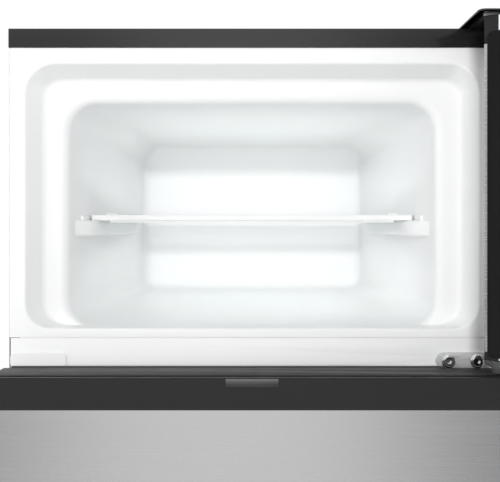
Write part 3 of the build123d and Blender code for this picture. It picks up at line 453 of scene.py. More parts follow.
@dataclass(frozen=True)
class Ribbed(Finish):
    """A clear or frosted moulding with fine ribs along Y."""

    pitch: float = 0.004
    depth: float = 0.0006

    def vary(self, graph: Graph) -> dict[str, Value]:
        """Adds the ribs.

        Args:
            graph: The material's graph.

        Returns:
            The values by socket.
        """
        inputs = {"Vector": graph.position(), "Scale": 1 / (WAVE_BANDS * self.pitch)}
        wave = graph.node("ShaderNodeTexWave", {"bands_direction": "X"}, inputs, "Fac")
        return {**super().vary(graph), "Normal": graph.relief(wave, self.depth)}


HINGE_GREY = (0.60, 0.602, 0.606)
SEAL_LIP = MouldedPlastic("seal_lip", (0.075, 0.075, 0.076), 0.5, specular=0.3, depth=0.00001)
# Painted shade and light on the cap's tab: near black on its lower part, lighter grey on its top
# where light falls.
TAB_PAINTED_SHADE = PaintedShadeAlongAxis(
    "cap_tab", (0.012, 0.012, 0.0122), 0.4, second=(0.13, 0.13, 0.131), border=(1.0265, 1.0365)
)
# Painted shade on the middle hinge bracket: its forward arm is darker grey than the plate behind
# it.
ARM_PAINTED_SHADE = PaintedShadeAlongAxis(
    "plate_arm_painted_shade", (0.13, 0.131, 0.133), 0.4, 0.3, second=HINGE_GREY, axis="Y",
    border=(-0.014, -0.006),
)
# Painted shade on the top hinge bracket: grey only at its front end, near black behind it under the
# cover.
BRACKET_PAINTED_SHADE = PaintedShadeAlongAxis(
    "bracket_end_painted_shade", (0.50, 0.502, 0.506), 0.4, 0.3, second=(0.014, 0.014, 0.0145), axis="Y",
    border=(-0.0418, -0.0398),
)

FINISHES: dict[str, Finish] = {
    "cabinet_paint": PaintedSteel("cabinet_paint", (0.115, 0.116, 0.12), 0.42),
    "zinc_sheet": ZincSheet("zinc_sheet", (0.60, 0.61, 0.62), 0.42, 0.85),
    "black_metal": PaintedSteel(
        "black_metal", (0.022, 0.022, 0.024), 0.4, pebble=900.0, depth=0.00002
    ),
    "copper": Aged("copper_tube", (0.78, 0.42, 0.26), 0.25, 1.0),
    "chrome_bolt": Aged("chrome_bolt", (0.78, 0.78, 0.80), 0.08, 1.0, toned=(0.55, 0.55, 0.57)),
    "hinge_metal": PaintedSteel(
        "hinge_metal", HINGE_GREY, 0.42, 0.3, pebble=1500.0, depth=0.00001
    ),
    "door_steel": BrushedSteel("brushed_door", (0.57, 0.57, 0.573), 0.26, 1.0),
    "liner_white": MouldedPlastic(
        "white_liner", (0.93, 0.932, 0.935), 0.3, coat=0.15, drift=0.006
    ),
    "foam": Bubbled("foam", (0.82, 0.76, 0.58), 0.9, drift=0.08, pores=500.0),
    "black_gloss": MouldedPlastic(
        "gloss_black", (0.018, 0.018, 0.019), 0.22, coat=0.3, depth=0.000004
    ),
    "cap_grey": MouldedPlastic(
        "door_cap", (0.024, 0.024, 0.0245), 0.42, specular=0.17, depth=0.00002
    ),
    "grey_plastic": MouldedPlastic("grey_plastic", (0.45, 0.46, 0.47), 0.45, depth=0.00002),
    "clear_plastic": MouldedPlastic(
        "clear_bin", (0.80, 0.86, 0.90), 0.12, clearness=0.62, depth=0.000003
    ),
    "gasket_rubber": Bubbled(
        "gasket_rubber", (0.014, 0.014, 0.0145), 0.8, specular=0.06, pores=2500.0, depth=0.00001
    ),
    "rubber_black": Bubbled("black_rubber", (0.02, 0.02, 0.02), 0.75, pores=1800.0, depth=0.00003),
    "shelf_glass": Finish("shelf_glass", (0.72, 0.88, 0.84), 0.06, clearness=0.6),
    "lamp_glass": Ribbed("lamp_glass", (0.93, 0.92, 0.88), 0.3, clearness=0.35),
}


# ---------------------------------------------------------------- modelling
class Kind(Enum):
    """What an edit step selects."""

    VERT = "VERT"
    EDGE = "EDGE"
    FACE = "FACE"


@dataclass(frozen=True)
class Outline:
    """A rounded rectangle that stands at one depth.

    The corners' radii are given for the top pair and for the bottom pair.
    """

    y: float
    half: float
    low: float
    high: float
    top: float
    bottom: float


class Bench:
    """Modelling steps as they are done by hand."""

    @staticmethod
    def only(*things: Thing) -> None:
        """Selects these objects and nothing else, with the last one active.

        Args:
            things: The objects.
        """
        bpy.ops.object.select_all(action="DESELECT")
        for thing in things:
            thing.select_set(True)
        bpy.context.view_layer.objects.active = things[-1]

    @staticmethod
    def made(name: str) -> Thing:
        """Names the object that was made last and settles its place in its mesh.

        Args:
            name: The new name.

        Returns:
            The object.
        """
        piece = bpy.context.active_object
        piece.name = piece.data.name = name
        bpy.ops.object.transform_apply(location=True, rotation=True, scale=True)
        return piece

    @staticmethod
    @contextmanager
    def editing(piece: Thing, kind: Kind = Kind.EDGE) -> Iterator[None]:
        """Opens a piece in edit mode with nothing selected, and closes it again.

        Args:
            piece: The piece.
            kind: What the steps inside select.

        Yields:
            Nothing, while the piece is open.
        """
        Bench.only(piece)
        bpy.ops.object.mode_set(mode="EDIT")
        bpy.ops.mesh.select_mode(type=kind.value)
        bpy.ops.mesh.select_all(action="DESELECT")
        yield
        bpy.ops.object.mode_set(mode="OBJECT")

    @staticmethod
    def pick(kind: Kind, test: Test) -> None:
        """Selects vertices, edges or faces of the piece being edited.

        Args:
            kind: What is selected.
            test: Takes a place and a direction: a face's middle and normal, an edge's middle and
                its unit direction, or a vertex's place twice.
        """
        mesh = bmesh.from_edit_mesh(bpy.context.active_object.data)
        bpy.ops.mesh.select_all(action="DESELECT")
        if kind is Kind.FACE:
            for face in mesh.faces:
                face.select_set(test(face.calc_center_median(), face.normal))
        elif kind is Kind.EDGE:
            for edge in mesh.edges:
                first, second = (vert.co for vert in edge.verts)
                edge.select_set(test((first + second) / 2, (second - first).normalized()))
        else:
            for vert in mesh.verts:
                vert.select_set(test(vert.co, vert.co))
        mesh.select_flush_mode()
        bmesh.update_edit_mesh(bpy.context.active_object.data)

    @staticmethod
    def extrude(move: Triple) -> None:
        """Extrudes what is selected."""
        bpy.ops.mesh.extrude_region_move(TRANSFORM_OT_translate={"value": move})

    @staticmethod
    def resize(factors: Triple, centre: Triple) -> None:
        """Scales what is selected about a point."""
        bpy.ops.transform.resize(value=factors, center_override=centre)

    @staticmethod
    def settle() -> None:
        """Turns every face of the piece being edited outwards."""
        bpy.ops.mesh.select_all(action="SELECT")
        bpy.ops.mesh.normals_make_consistent(inside=False)

    @staticmethod
    def box(name: str, x: Span, y: Span, z: Span) -> Thing:
        """A block between two values of X, of Y and of Z.

        Args:
            name: The block's name.
            x: From left to right.
            y: From front to back.
            z: From below to above.

        Returns:
            The block.
        """
        bpy.ops.object.select_all(action="DESELECT")
        middle = [sum(pair) / 2 for pair in (x, y, z)]
        size = [abs(high - low) for low, high in (x, y, z)]
        bpy.ops.mesh.primitive_cube_add(size=1, location=middle, scale=size)
        return Bench.made(name)

    @staticmethod
    def disc(name: str, centre: Triple, radius: float, height: float, sides: int = 32) -> Thing:
        """A short upright cylinder that stands on its centre point.

        Args:
            name: The cylinder's name.
            centre: The middle of its underside.
            radius: Its radius.
            height: Its height.
            sides: How many sides it has.

        Returns:
            The cylinder.
        """
        bpy.ops.object.select_all(action="DESELECT")
        middle = (centre[0], centre[1], centre[2] + height / 2)
        bpy.ops.mesh.primitive_cylinder_add(
            vertices=sides, radius=radius, depth=height, location=middle
        )
        return Bench.made(name)

    @staticmethod
    def prism(name: str, corners: Sequence[Span], z: Span) -> Thing:
        """A block on four corners that are given as X and Y.

        Args:
            name: The block's name.
            corners: Front left, front right, back right and back left.
            z: From below to above.

        Returns:
            The block.
        """
        bpy.ops.object.select_all(action="DESELECT")
        bpy.ops.mesh.primitive_plane_add(size=2, location=(0, 0, z[0]))
        piece = Bench.made(name)
        signs = ((-1, -1), (1, -1), (1, 1), (-1, 1))
        with Bench.editing(piece, Kind.VERT):
            for (right, back), (x, y) in zip(signs, corners):
                Bench.pick(
                    Kind.VERT,
                    lambda at, _, r=right, b=back: abs(at.x - r) < SAME and abs(at.y - b) < SAME,
                )
                bpy.ops.transform.translate(value=(x - right, y - back, 0))
            bpy.ops.mesh.select_all(action="SELECT")
            Bench.extrude((0, 0, z[1] - z[0]))
            Bench.settle()
        return piece

    @staticmethod
    def bevel(piece: Thing, width: float, segments: int, test: Test) -> None:
        """Rounds the edges that pass a test.

        Args:
            piece: The piece.
            width: The width of the rounding.
            segments: How finely it is rounded.
            test: Takes an edge's middle and its unit direction.
        """
        with Bench.editing(piece):
            Bench.pick(Kind.EDGE, test)
            bpy.ops.mesh.bevel(offset=width, segments=segments, affect="EDGES")

    @staticmethod
    def loop(outline: Outline, steps: int) -> Thing:
        """The edges of a rounded rectangle, with no face.

        Args:
            outline: The rectangle.
            steps: Segments in each rounded corner.

        Returns:
            The loop.
        """
        bpy.ops.object.select_all(action="DESELECT")
        middle = (outline.low + outline.high) / 2
        centre = (0, outline.y, middle)
        bpy.ops.mesh.primitive_plane_add(size=1, location=centre, rotation=(math.pi / 2, 0, 0))
        ring = Bench.made("ring")
        with Bench.editing(ring, Kind.VERT):
            bpy.ops.mesh.select_all(action="SELECT")
            Bench.resize((2 * outline.half, 1, outline.high - outline.low), centre)
            for side, radius in ((1, outline.top), (-1, outline.bottom)):
                Bench.pick(Kind.VERT, lambda at, _, s=side: (at.z - middle) * s > 0)
                bpy.ops.mesh.bevel(offset=radius, segments=steps, affect="VERTICES")
            bpy.ops.mesh.select_all(action="SELECT")
            bpy.ops.mesh.delete(type="ONLY_FACE")
        return ring

    @staticmethod
    def lofted(name: str, outlines: Sequence[Outline], closed: bool, steps: int) -> Thing:
        """A skin through rounded rectangles.

        Args:
            name: The piece's name.
            outlines: The rectangles in order.
            closed: Whether the last one joins the first.
            steps: Segments in each rounded corner.

        Returns:
            The skin, merged and with its faces the same way round.
        """
        pairs = list(zip(outlines, outlines[1:]))
        if closed:
            pairs.append((outlines[-1], outlines[0]))
        strips = []
        for pair in pairs:
            rings = [Bench.loop(outline, steps) for outline in pair]
            Bench.only(*rings)
            bpy.ops.object.join()
            strip = bpy.context.active_object
            with Bench.editing(strip):
                bpy.ops.mesh.select_all(action="SELECT")
                bpy.ops.mesh.bridge_edge_loops()
            strips.append(strip)
        Bench.only(*strips)
        bpy.ops.object.join()
        piece = bpy.context.active_object
        piece.name = piece.data.name = name
        with Bench.editing(piece, Kind.VERT):
            bpy.ops.mesh.select_all(action="SELECT")
            bpy.ops.mesh.remove_doubles(threshold=SAME)
            Bench.settle()
        return piece

    @staticmethod
    def modify(piece: Thing, kind: str, **settings: Union[float, int, str, Thing]) -> None:
        """Adds a modifier and applies it.

        Args:
            piece: The piece.
            kind: The modifier's type.
            settings: Its settings.
        """
        Bench.only(piece)
        modifier = piece.modifiers.new("step", kind)
        for key, value in settings.items():
            setattr(modifier, key, value)
        bpy.ops.object.modifier_apply(modifier=modifier.name)

    @staticmethod
    def cut(piece: Thing, tool: Thing) -> None:
        """Takes a tool's shape out of a piece and throws the tool away."""
        Bench.modify(piece, "BOOLEAN", operation="DIFFERENCE", object=tool, solver="EXACT")
        bpy.data.objects.remove(tool)

    @staticmethod
    def smooth(piece: Thing, angle: float = 35.0) -> Thing:
        """Shades a piece smooth.

        Args:
            piece: The piece.
            angle: Up to what angle between faces, in degrees.

        Returns:
            The same piece.
        """
        Bench.only(piece)
        bpy.ops.object.shade_smooth_by_angle(angle=math.radians(angle))
        return piece

    @staticmethod
    def eased(piece: Thing, width: float) -> Thing:
        """Rounds every sharp edge of a piece.

        Args:
            piece: The piece.
            width: The width of the rounding.

        Returns:
            The same piece.
        """
        Bench.modify(
            piece, "BEVEL", width=width, segments=2, limit_method="ANGLE", angle_limit=SHARP
        )
        return Bench.smooth(piece)

    @staticmethod
    def copied(name: str, node: str) -> Thing:
        """A copy of a measured piece, with its triangles merged to flat faces.

        Args:
            name: The copy's name.
            node: The measured piece.

        Returns:
            The copy.
        """
        piece = frame["nodes"][node].copy()
        piece.data = piece.data.copy()
        piece.name = piece.data.name = name
        piece.parent = None
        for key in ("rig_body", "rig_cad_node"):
            del piece[key]
        bpy.context.scene.collection.objects.link(piece)
        Bench.only(piece)
        bpy.ops.mesh.customdata_custom_splitnormals_clear()
        with Bench.editing(piece, Kind.VERT):
            bpy.ops.mesh.select_all(action="SELECT")
            bpy.ops.mesh.remove_doubles(threshold=SAME)
            bpy.ops.mesh.dissolve_limited(angle_limit=FLAT)
        return piece

    @staticmethod
    def grooved(name: str, node: str, groove: Sequence[Span], width: float) -> Thing:
        """A copy of a measured piece with a groove in it and its sharp edges rounded.

        Args:
            name: The copy's name.
            node: The measured piece.
            groove: Where the groove runs in X, in Y and in Z.
            width: The width of the rounding.

        Returns:
            The copy.
        """
        piece = Bench.copied(name, node)
        Bench.cut(piece, Bench.box("groove", *groove))
        return Bench.eased(piece, width)

    @staticmethod
    def repeat(piece: Thing, name: str, move: Matrix) -> Thing:
        """Copies a piece, with a mesh of its own, to another place.

        Args:
            piece: The piece.
            name: The copy's name.
            move: Where the copy goes, which may mirror it.

        Returns:
            The copy.
        """
        twin = piece.copy()
        twin.data = piece.data.copy()
        twin.name = twin.data.name = name
        bpy.context.scene.collection.objects.link(twin)
        twin.data.transform(move)
        if move.determinant() < 0:
            twin.data.flip_normals()
        return twin


# ---------------------------------------------------------------- sub-assemblies
class Extent(NamedTuple):
    """How far a measured piece reaches along each axis."""

    x: Span
    y: Span
    z: Span


def extent(node: str) -> Extent:
    """How far a measured piece reaches along each axis, at rest."""
    return Extent(*zip(*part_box(node)))


@dataclass
class Assembly:
    """Pieces that belong together and ride on one body.

    The nodes are the measured pieces that stay. Those in softer are replaced by ones with rounded
    edges, each with the width of its rounding.
    """

    body: str
    nodes: Sequence[str] = ()
    softer: Sequence[tuple[str, float]] = ()
    made: list[Thing] = field(default_factory=list)

    def adopt(self, piece: Thing, slot: str, *nodes: str, finish: Optional[Finish] = None) -> None:
        """Takes in a new piece.

        Args:
            piece: The piece, in place.
            slot: The material slot that it is dressed from.
            nodes: The measured pieces that it stands for.
            finish: Its finish, where it isn't the slot's own.
        """
        piece.data.materials.clear()
        piece.data.materials.append((finish or FINISHES[slot]).material())
        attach(piece, self.body)
        if nodes:
            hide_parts(*nodes)
        self.made.append(piece)
        log.info("  %s", piece.name)

    def soften(self, node: str, width: float, finish: Optional[Finish] = None) -> None:
        """Replaces a measured piece by one with rounded edges."""
        piece = Bench.eased(Bench.copied(f"{node}_rounded", node), width)
        self.adopt(piece, SLOTS[node], node, finish=finish)

    def round_off(self) -> None:
        """Replaces every measured piece that is listed for it."""
        for node, width in self.softer:
            self.soften(node, width)

    def dress(self) -> None:
        """Gives each measured piece that stays the finish of its slot."""
        for node in self.nodes:
            mesh = frame["nodes"][node].data
            mesh.materials.clear()
            mesh.materials.append(FINISHES[SLOTS[node]].material())

    def build(self) -> None:
        """Dresses the measured pieces that stay and makes the new ones."""
        log.info("%s on %s, with %d measured", type(self).__name__, self.body, len(self.nodes))
        self.dress()
        self.shape()

    def shape(self) -> None:
        """Makes the new pieces."""
        self.round_off()


@dataclass(frozen=True)
class Rib:
    """A rib on a side wall.

    It stands out by the first width at its front and by the second at its back. Its front end
    slants back by the nose, from the wall to its inner edge.
    """

    name: str
    y: Span
    z: Span
    widths: Span
    round_by: float
    nose: float = 0.0


@dataclass
class FoodLiner(Assembly):
    """The formed white inside of a compartment, with its stepped rim and rounded lips.

    The flange and the back wall are where the measured liner has them.
    """

    body: str = "cabinet"
    name: str = "freezer"
    flange_round: float = 0.0006
    ring: Span = (1.0745, 1.3701)
    ring_half: float = 0.253
    ring_round: float = 0.033
    rim: float = 0.0035
    step_in: float = 0.010
    step_depth: float = 0.021
    step_round: float = 0.023
    cove: float = 0.007
    wall: Span = (1.0745, 1.3313)
    wall_half: float = 0.213
    wall_round: float = 0.032
    lip: float = 0.010
    back_half: float = 0.195
    back_bend: float = 0.014
    floor_radius: float = 0.027
    liner: Extent = field(init=False)
    back: float = field(init=False)

    def __post_init__(self) -> None:
        """Measures the liner that the shell stands for."""
        self.liner = extent(f"{self.name}_liner")
        self.back = self.liner.y[1] - SHEET

    def at(self, y: float, side: float, top: float, low: float, radii: Span) -> Outline:
        """The section at depth y, given how far in it stands from the ring's outline.

        Args:
            y: The depth.
            side: How far in the sides stand.
            top: How far down the upper edge stands.
            low: How far up the lower edge stands.
            radii: The radii of the upper and of the lower corners.

        Returns:
            The outline.
        """
        return Outline(y, self.ring_half - side, self.ring[0] + low, self.ring[1] - top, *radii)

    def sections(self) -> list[Outline]:
        """Every section from the flange's edge in to the back wall, with the bends between.

        Returns:
            The outlines, from front to back.
        """
        level_floor = self.wall[0] == self.ring[0]
        foot = 0.0 if level_floor else self.step_in
        ring_low = self.floor_radius if level_floor else self.ring_round
        side, top = self.ring_half - self.wall_half, self.ring[1] - self.wall[1]
        low, back_side = self.wall[0] - self.ring[0], self.ring_half - self.back_half
        # Through a quarter bend: the share of its radius that is left one way and gone the other.
        turns = [math.radians(18 * step) for step in range(6)]
        bends = [(1 - math.sin(turn), 1 - math.cos(turn)) for turn in turns]
        edge = (self.flange_round, self.flange_round)
        rows = [Outline(0.0, self.liner.x[1], *self.liner.z, *edge)]
        for left, gone in bends:
            out = self.rim * left
            radii = (self.ring_round + out, ring_low + out)
            rows.append(self.at(self.rim * gone, -out, -out, -out, radii))
        for left, gone in bends:
            bend = self.cove * gone
            inset, up = self.step_in + bend, foot + (0.0 if level_floor else bend)
            tight = self.step_round - bend
            radii = (tight, self.floor_radius if level_floor else tight)
            rows.append(self.at(self.step_depth - self.cove * left, inset, inset, up, radii))
        for left, gone in bends:
            out = self.lip * left
            rise = 0.0 if level_floor else out
            radii = (self.wall_round + out, self.floor_radius + rise)
            depth = self.step_depth + self.lip * gone
            rows.append(self.at(depth, side - out, top - out, low - rise, radii))
        for left, gone in bends:
            bend = self.back_bend * gone
            radii = (self.wall_round - bend, self.floor_radius - bend)
            depth = self.back - self.back_bend * left
            rows.append(self.at(depth, back_side + bend, top + bend, low + bend, radii))
        return rows

    def shell(self) -> Thing:
        """The formed sheet itself.

        Returns:
            The shell, open to the front.
        """
        piece = Bench.lofted(f"{self.name}_liner_shell", self.sections(), closed=False, steps=12)
        with Bench.editing(piece):
            Bench.pick(Kind.EDGE, lambda at, way: at.y > self.back - SAME)
            bpy.ops.mesh.edge_face_add()
            Bench.settle()
        if max(piece.data.polygons, key=lambda face: face.center.y).normal.y > 0:
            piece.data.flip_normals()
        Bench.modify(piece, "SOLIDIFY", thickness=SHEET, offset=-1.0)
        return Bench.smooth(piece, angle=40.0)

    def wall_at(self, y: float) -> float:
        """Half the width between the side walls at depth y."""
        taper, depth = self.wall_half - self.back_half, self.back - self.step_depth
        return self.wall_half - taper * (y - self.step_depth) / depth

    def add_rib(self, rib: Rib) -> None:
        """Moulds a rib on the right wall and mirrors it to the left.

        Args:
            rib: The rib.
        """
        (front, back), (low, high) = rib.y, rib.z
        near, far = self.wall_at(front), self.wall_at(back)
        spare = SHEET / 2
        right = Bench.prism(
            f"{rib.name}_right",
            (
                (near - rib.widths[0], front + rib.nose), (near + spare, front),
                (far + spare, back), (far - rib.widths[1], back),
            ),
            rib.z,
        )
        inner = near - rib.widths[0] / 2
        Bench.bevel(
            right, width=max(rib.round_by, rib.nose / 3), segments=8,
            test=lambda at, way: abs(way.z) > ALONG and at.x < inner
            and at.y < front + rib.nose + NEAR,
        )
        Bench.bevel(
            right, width=rib.round_by, segments=4,
            test=lambda at, way: abs(way.z) < SQUARE
            and at.x < self.wall_at(at.y) - rib.round_by / 2
            and (at.z < low + NEAR or at.z > high - NEAR),
        )
        Bench.smooth(right)
        left = Bench.repeat(right, f"{rib.name}_left", Matrix.Scale(-1, 4, Vector((1, 0, 0))))
        self.adopt(right, "liner_white")
        self.adopt(left, "liner_white")

    def shape(self) -> None:
        """Forms the shell."""
        self.adopt(self.shell(), "liner_white", f"{self.name}_liner")


@dataclass
class FreezerSpace(FoodLiner):
    """The freezer compartment with what carries its shelf."""

    guide_gap: float = 0.0072
    guide_height: float = 0.004
    rails_end: float = 0.309

    def ribs(self) -> Sequence[Rib]:
        """The shelf's supports, the guides over it and the stops before it.

        Returns:
            The ribs.
        """
        shelf = extent("freezer_shelf_glass").z[0]
        guide = shelf + self.guide_gap
        return (
            Rib(
                "shelf_support", y=(0.045, self.rails_end), z=(shelf - 0.020, shelf),
                widths=(0.0165, 0.0115), round_by=0.005, nose=0.026,
            ),
            Rib(
                "shelf_guide", y=(0.170, self.rails_end), z=(guide, guide + self.guide_height),
                widths=(0.014, 0.007), round_by=0.0012,
            ),
            Rib(
                "shelf_stop", y=(0.066, 0.088), z=(shelf - 0.001, shelf + 0.006),
                widths=(0.003, 0.003), round_by=0.001,
            ),
        )

    def shape(self) -> None:
        """Forms the shell and moulds its ribs."""
        super().shape()
        for rib in self.ribs():
            self.add_rib(rib)


@dataclass
class FridgeSpace(FoodLiner):
    """The lower compartment, with the hump over the compressor and the ribs for its shelves."""

    softer: Sequence[tuple[str, float]] = (
        ("fridge_shelf_trims", 0.0008), ("crisper_cover", 0.0006), ("fridge_shelf_glasses", 0.0006),
    )
    name: str = "fridge"
    ring: Span = (0.085, 1.000)
    wall: Span = (0.101, 0.984)
    wall_half: float = 0.230
    lip: float = 0.004
    back_half: float = 0.217
    floor_radius: float = 0.032
    hump_half: float = 0.2216
    hump_front: float = 0.300
    hump_top: float = 0.320
    hump_round: float = 0.014
    shelves: int = 4
    shelf_step: float = 0.150
    rib_y: Span = (0.108, 0.404)
    rib_width: float = 0.018
    rib_height: float = 0.009
    rib_round: float = 0.002

    def hump(self) -> Thing:
        """The step over the compressor, with its front edges rounded.

        Returns:
            The hump.
        """
        piece = Bench.box(
            "liner_hump", (-self.hump_half, self.hump_half), (self.hump_front, self.back),
            (self.wall[0], self.hump_top),
        )
        Bench.bevel(
            piece, width=self.hump_round, segments=6,
            test=lambda at, way: abs(way.x) > ALONG and at.y < self.hump_front + NEAR,
        )
        return Bench.smooth(piece)

    def shape(self) -> None:
        """Forms the shell, the hump and the shelf ribs, and rounds the shelves."""
        super().shape()
        self.adopt(self.hump(), "liner_white")
        lowest = extent("crisper_cover").z[0]
        for count in range(self.shelves):
            level = lowest + count * self.shelf_step
            self.add_rib(Rib(
                f"shelf_rib_{count + 1}", self.rib_y, (level - self.rib_height, level),
                (self.rib_width, self.rib_width), self.rib_round,
            ))
        self.round_off()


@dataclass(frozen=True)
class Mouth:
    """Where the cabinet's foam is open round a liner, and how far its ledge is drawn back."""

    z: Span
    middle: float
    drawn_back: float


@dataclass
class Shell(Assembly):
    """The cabinet's sheets, frame, trims and fixed covers."""

    body: str = "cabinet"
    nodes: Sequence[str] = (
        "side_panel_left", "side_panel_right", "top_panel", "back_panel", "bay_panel", "base_frame",
        "cord_gland", "roller_axles",
    )
    softer: Sequence[tuple[str, float]] = (
        ("top_front_trim", 0.0006), ("mullion_cover", 0.0005), ("mullion_hole_cover", 0.0003),
        ("toe_grille", 0.0005),
    )
    mouths: Sequence[Mouth] = (
        Mouth(z=(1.060, 1.376), middle=1.2223, drawn_back=0.006),
        Mouth(z=(0.070, 1.006), middle=0.5425, drawn_back=0.003),
    )
    mouth_half: float = 0.2563
    ledge_half: float = 0.235
    ledge_depth: float = 0.0225
    foam_clearance: float = 0.003
    foam_back: float = 0.005
    strip_y: Span = (0.0017, 0.0030)
    strip_reach: float = 0.004
    screw_radius: float = 0.004
    screw_head: float = 0.0014
    recess_long: float = 0.0022
    recess_wide: float = 0.0004
    recess_z: Span = (0.0008, 0.002)
    side_screws: Sequence[float] = (0.30, 0.56, 0.83, 1.10, 1.385)
    side_screw_x: float = 0.258
    edge_screws: Sequence[float] = (0.297, 1.395)
    edge_screw_x: Sequence[float] = (-0.13, 0.0, 0.13)

    def screw(self) -> Thing:
        """A pan-head screw with a cross recess, its axis along Y, at the origin.

        Returns:
            The screw.
        """
        head = Bench.disc("panel_screw", (0, 0, 0), self.screw_radius, self.screw_head, sides=24)
        Bench.bevel(
            head, width=0.0009, segments=3, test=lambda at, way: at.z > self.screw_head - NEAR
        )
        long, wide = self.recess_long, self.recess_wide
        for angle in (0.0, math.pi / 2):
            slot = Bench.box("slot", (-long, long), (-wide, wide), self.recess_z)
            slot.data.transform(Matrix.Rotation(angle, 4, "Z"))
            Bench.cut(head, slot)
        head.data.transform(Matrix.Rotation(-math.pi / 2, 4, "X"))
        return Bench.smooth(head)

    def foam(self) -> Thing:
        """The foam, drawn back behind the liners' rounded rims and lips and behind the seams.

        Returns:
            The foam.
        """
        piece = Bench.copied("foam_fill", "insulation_foam")
        gap = self.foam_clearance
        with Bench.editing(piece, Kind.VERT):
            for mouth in self.mouths:
                low, high = mouth.z
                Bench.pick(
                    Kind.VERT,
                    lambda at, _: abs(at.y - self.ledge_depth) < 10 * NEAR
                    and abs(at.x) < self.ledge_half and low < at.z < high,
                )
                bpy.ops.transform.translate(value=(0, mouth.drawn_back, 0))
                Bench.pick(
                    Kind.VERT,
                    lambda at, _: at.y < gap and abs(at.x) < self.mouth_half and low < at.z < high,
                )
                Bench.resize(
                    (1 + gap / self.mouth_half, 1, 1 + gap / ((high - low) / 2)),
                    (0, 0, mouth.middle),
                )
            Bench.pick(Kind.VERT, lambda at, _: at.y < gap)
            bpy.ops.transform.translate(value=(0, self.foam_back, 0))
        return Bench.smooth(piece)

    def seam_strip(self) -> Thing:
        """The white strip behind the seam under the freezer's flange.

        Returns:
            The strip.
        """
        cover = extent("mullion_cover")
        seam = (cover.z[1] + extent("freezer_liner").z[0]) / 2
        levels = (seam - self.strip_reach, seam + self.strip_reach)
        strip = Bench.box("mullion_seam_strip", cover.x, self.strip_y, levels)
        Bench.bevel(
            strip, width=0.0003, segments=2, test=lambda at, way: at.y < self.strip_y[0] + NEAR
        )
        return Bench.smooth(strip)

    def shape(self) -> None:
        """Fills in the foam, rounds the trims and covers and drives the back panel's screws."""
        self.adopt(self.foam(), "foam", "insulation_foam")
        self.adopt(self.seam_strip(), "liner_white")
        self.round_off()
        first, face = self.screw(), extent("back_panel").y[1]
        places = [(side * self.side_screw_x, z) for side in (-1, 1) for z in self.side_screws]
        places += [(x, z) for x in self.edge_screw_x for z in self.edge_screws]
        for count, (x, z) in enumerate(places, start=1):
            move = Matrix.Translation((x, face, z)) @ Matrix.Rotation(math.pi, 4, "Z")
            self.adopt(Bench.repeat(first, f"panel_screw_{count}", move), "zinc_sheet")
        bpy.data.objects.remove(first)


@dataclass
class Door(Assembly):
    """A foamed door: steel skin, end caps, liner, seal and bins.

    Each bin stands for a measured rack and takes its levels.
    """

    racks: Sequence[str] = ()
    edge_round: float = 0.0006
    seal_half: float = 0.2684
    seal_round: float = 0.006
    seal_least: float = 0.0015
    bin_half: float = 0.212
    bin_y: Span = (-0.012, 0.063)
    bin_corner: float = 0.012
    bin_rim: float = 0.005
    bin_wall: float = 0.0032
    bin_floor: float = 0.0022
    bin_middle: float = 0.02
    draw_inside: Triple = (0.985, 0.95, 1)
    draw_outside: Triple = (0.986, 0.955, 1)

    def hang(self, piece: Thing) -> Thing:
        """Takes a piece that was made closed to where the door rests."""
        return piece

    def seal(self) -> Thing:
        """The magnetic seal, with its foot, its bellows and its face.

        Returns:
            The seal, hung in the door.
        """
        profile = (
            (0.0000, -0.0120), (0.0000, -0.0098), (0.0022, -0.0092), (0.0020, -0.0080),
            (0.0004, -0.0070), (0.0003, -0.0034), (0.0016, -0.0016), (0.0040, -0.0012),
            (0.0110, -0.0012), (0.0134, -0.0017), (0.0146, -0.0036), (0.0142, -0.0064),
            (0.0120, -0.0076), (0.0124, -0.0090), (0.0155, -0.0098), (0.0155, -0.0120),
        )
        low, high = extent(f"{self.body}_gasket").z
        outlines = []
        for inset, y in profile:
            radius = max(self.seal_round - inset, self.seal_least)
            levels = (low + inset, high - inset)
            outlines.append(Outline(y, self.seal_half - inset, *levels, radius, radius))
        piece = Bench.lofted(f"{self.body}_seal", outlines, closed=True, steps=6)
        return self.hang(Bench.smooth(piece, angle=50.0))

    def bin(self, rack: str) -> Thing:
        """An open moulded bin with a thick rim and a drawn-in floor.

        Args:
            rack: The measured rack that it stands for.

        Returns:
            The bin, hung in the door.
        """
        floor, top = extent(rack).z
        rim_low, far = top - self.bin_rim, self.bin_y[1]
        centre = (0, self.bin_middle, floor)
        piece = Bench.box(
            f"{rack}_bin", (-self.bin_half, self.bin_half), self.bin_y, (floor, top)
        )
        Bench.bevel(
            piece, width=self.bin_corner, segments=6,
            test=lambda at, way: abs(way.z) > ALONG and at.y > far - NEAR,
        )
        with Bench.editing(piece, Kind.FACE):
            bpy.ops.mesh.select_all(action="SELECT")
            bpy.ops.mesh.bisect(plane_co=(0, 0, rim_low), plane_no=(0, 0, 1))
            Bench.pick(Kind.FACE, lambda at, normal: normal.z > ALONG)
            bpy.ops.mesh.inset(thickness=self.bin_wall)
            Bench.extrude((0, 0, -self.bin_rim))
            Bench.extrude((0, 0, floor + self.bin_floor - rim_low))
            Bench.resize(self.draw_inside, centre)
            Bench.pick(Kind.VERT, lambda at, _: at.z < floor + NEAR)
            Bench.resize(self.draw_outside, centre)
        Bench.bevel(piece, width=0.0009, segments=2, test=lambda at, way: at.z > top - NEAR)
        Bench.bevel(piece, width=0.003, segments=3, test=lambda at, way: at.z < floor + NEAR)
        return self.hang(Bench.smooth(piece))

    def add_seal(self) -> None:
        """Seals the door."""
        self.adopt(self.seal(), "gasket_rubber", f"{self.body}_gasket")

    def add_top(self) -> None:
        """Rounds the top cap."""
        self.soften(f"{self.body}_top_cap", self.edge_round)

    def shape(self) -> None:
        """Seals the door, rounds its edges and fills in its bins."""
        self.add_seal()
        self.soften(f"{self.body}_skin", self.edge_round)
        self.add_top()
        self.soften(f"{self.body}_bottom_cap", self.edge_round)
        for rack in self.racks:
            self.adopt(self.bin(rack), "clear_plastic", rack)


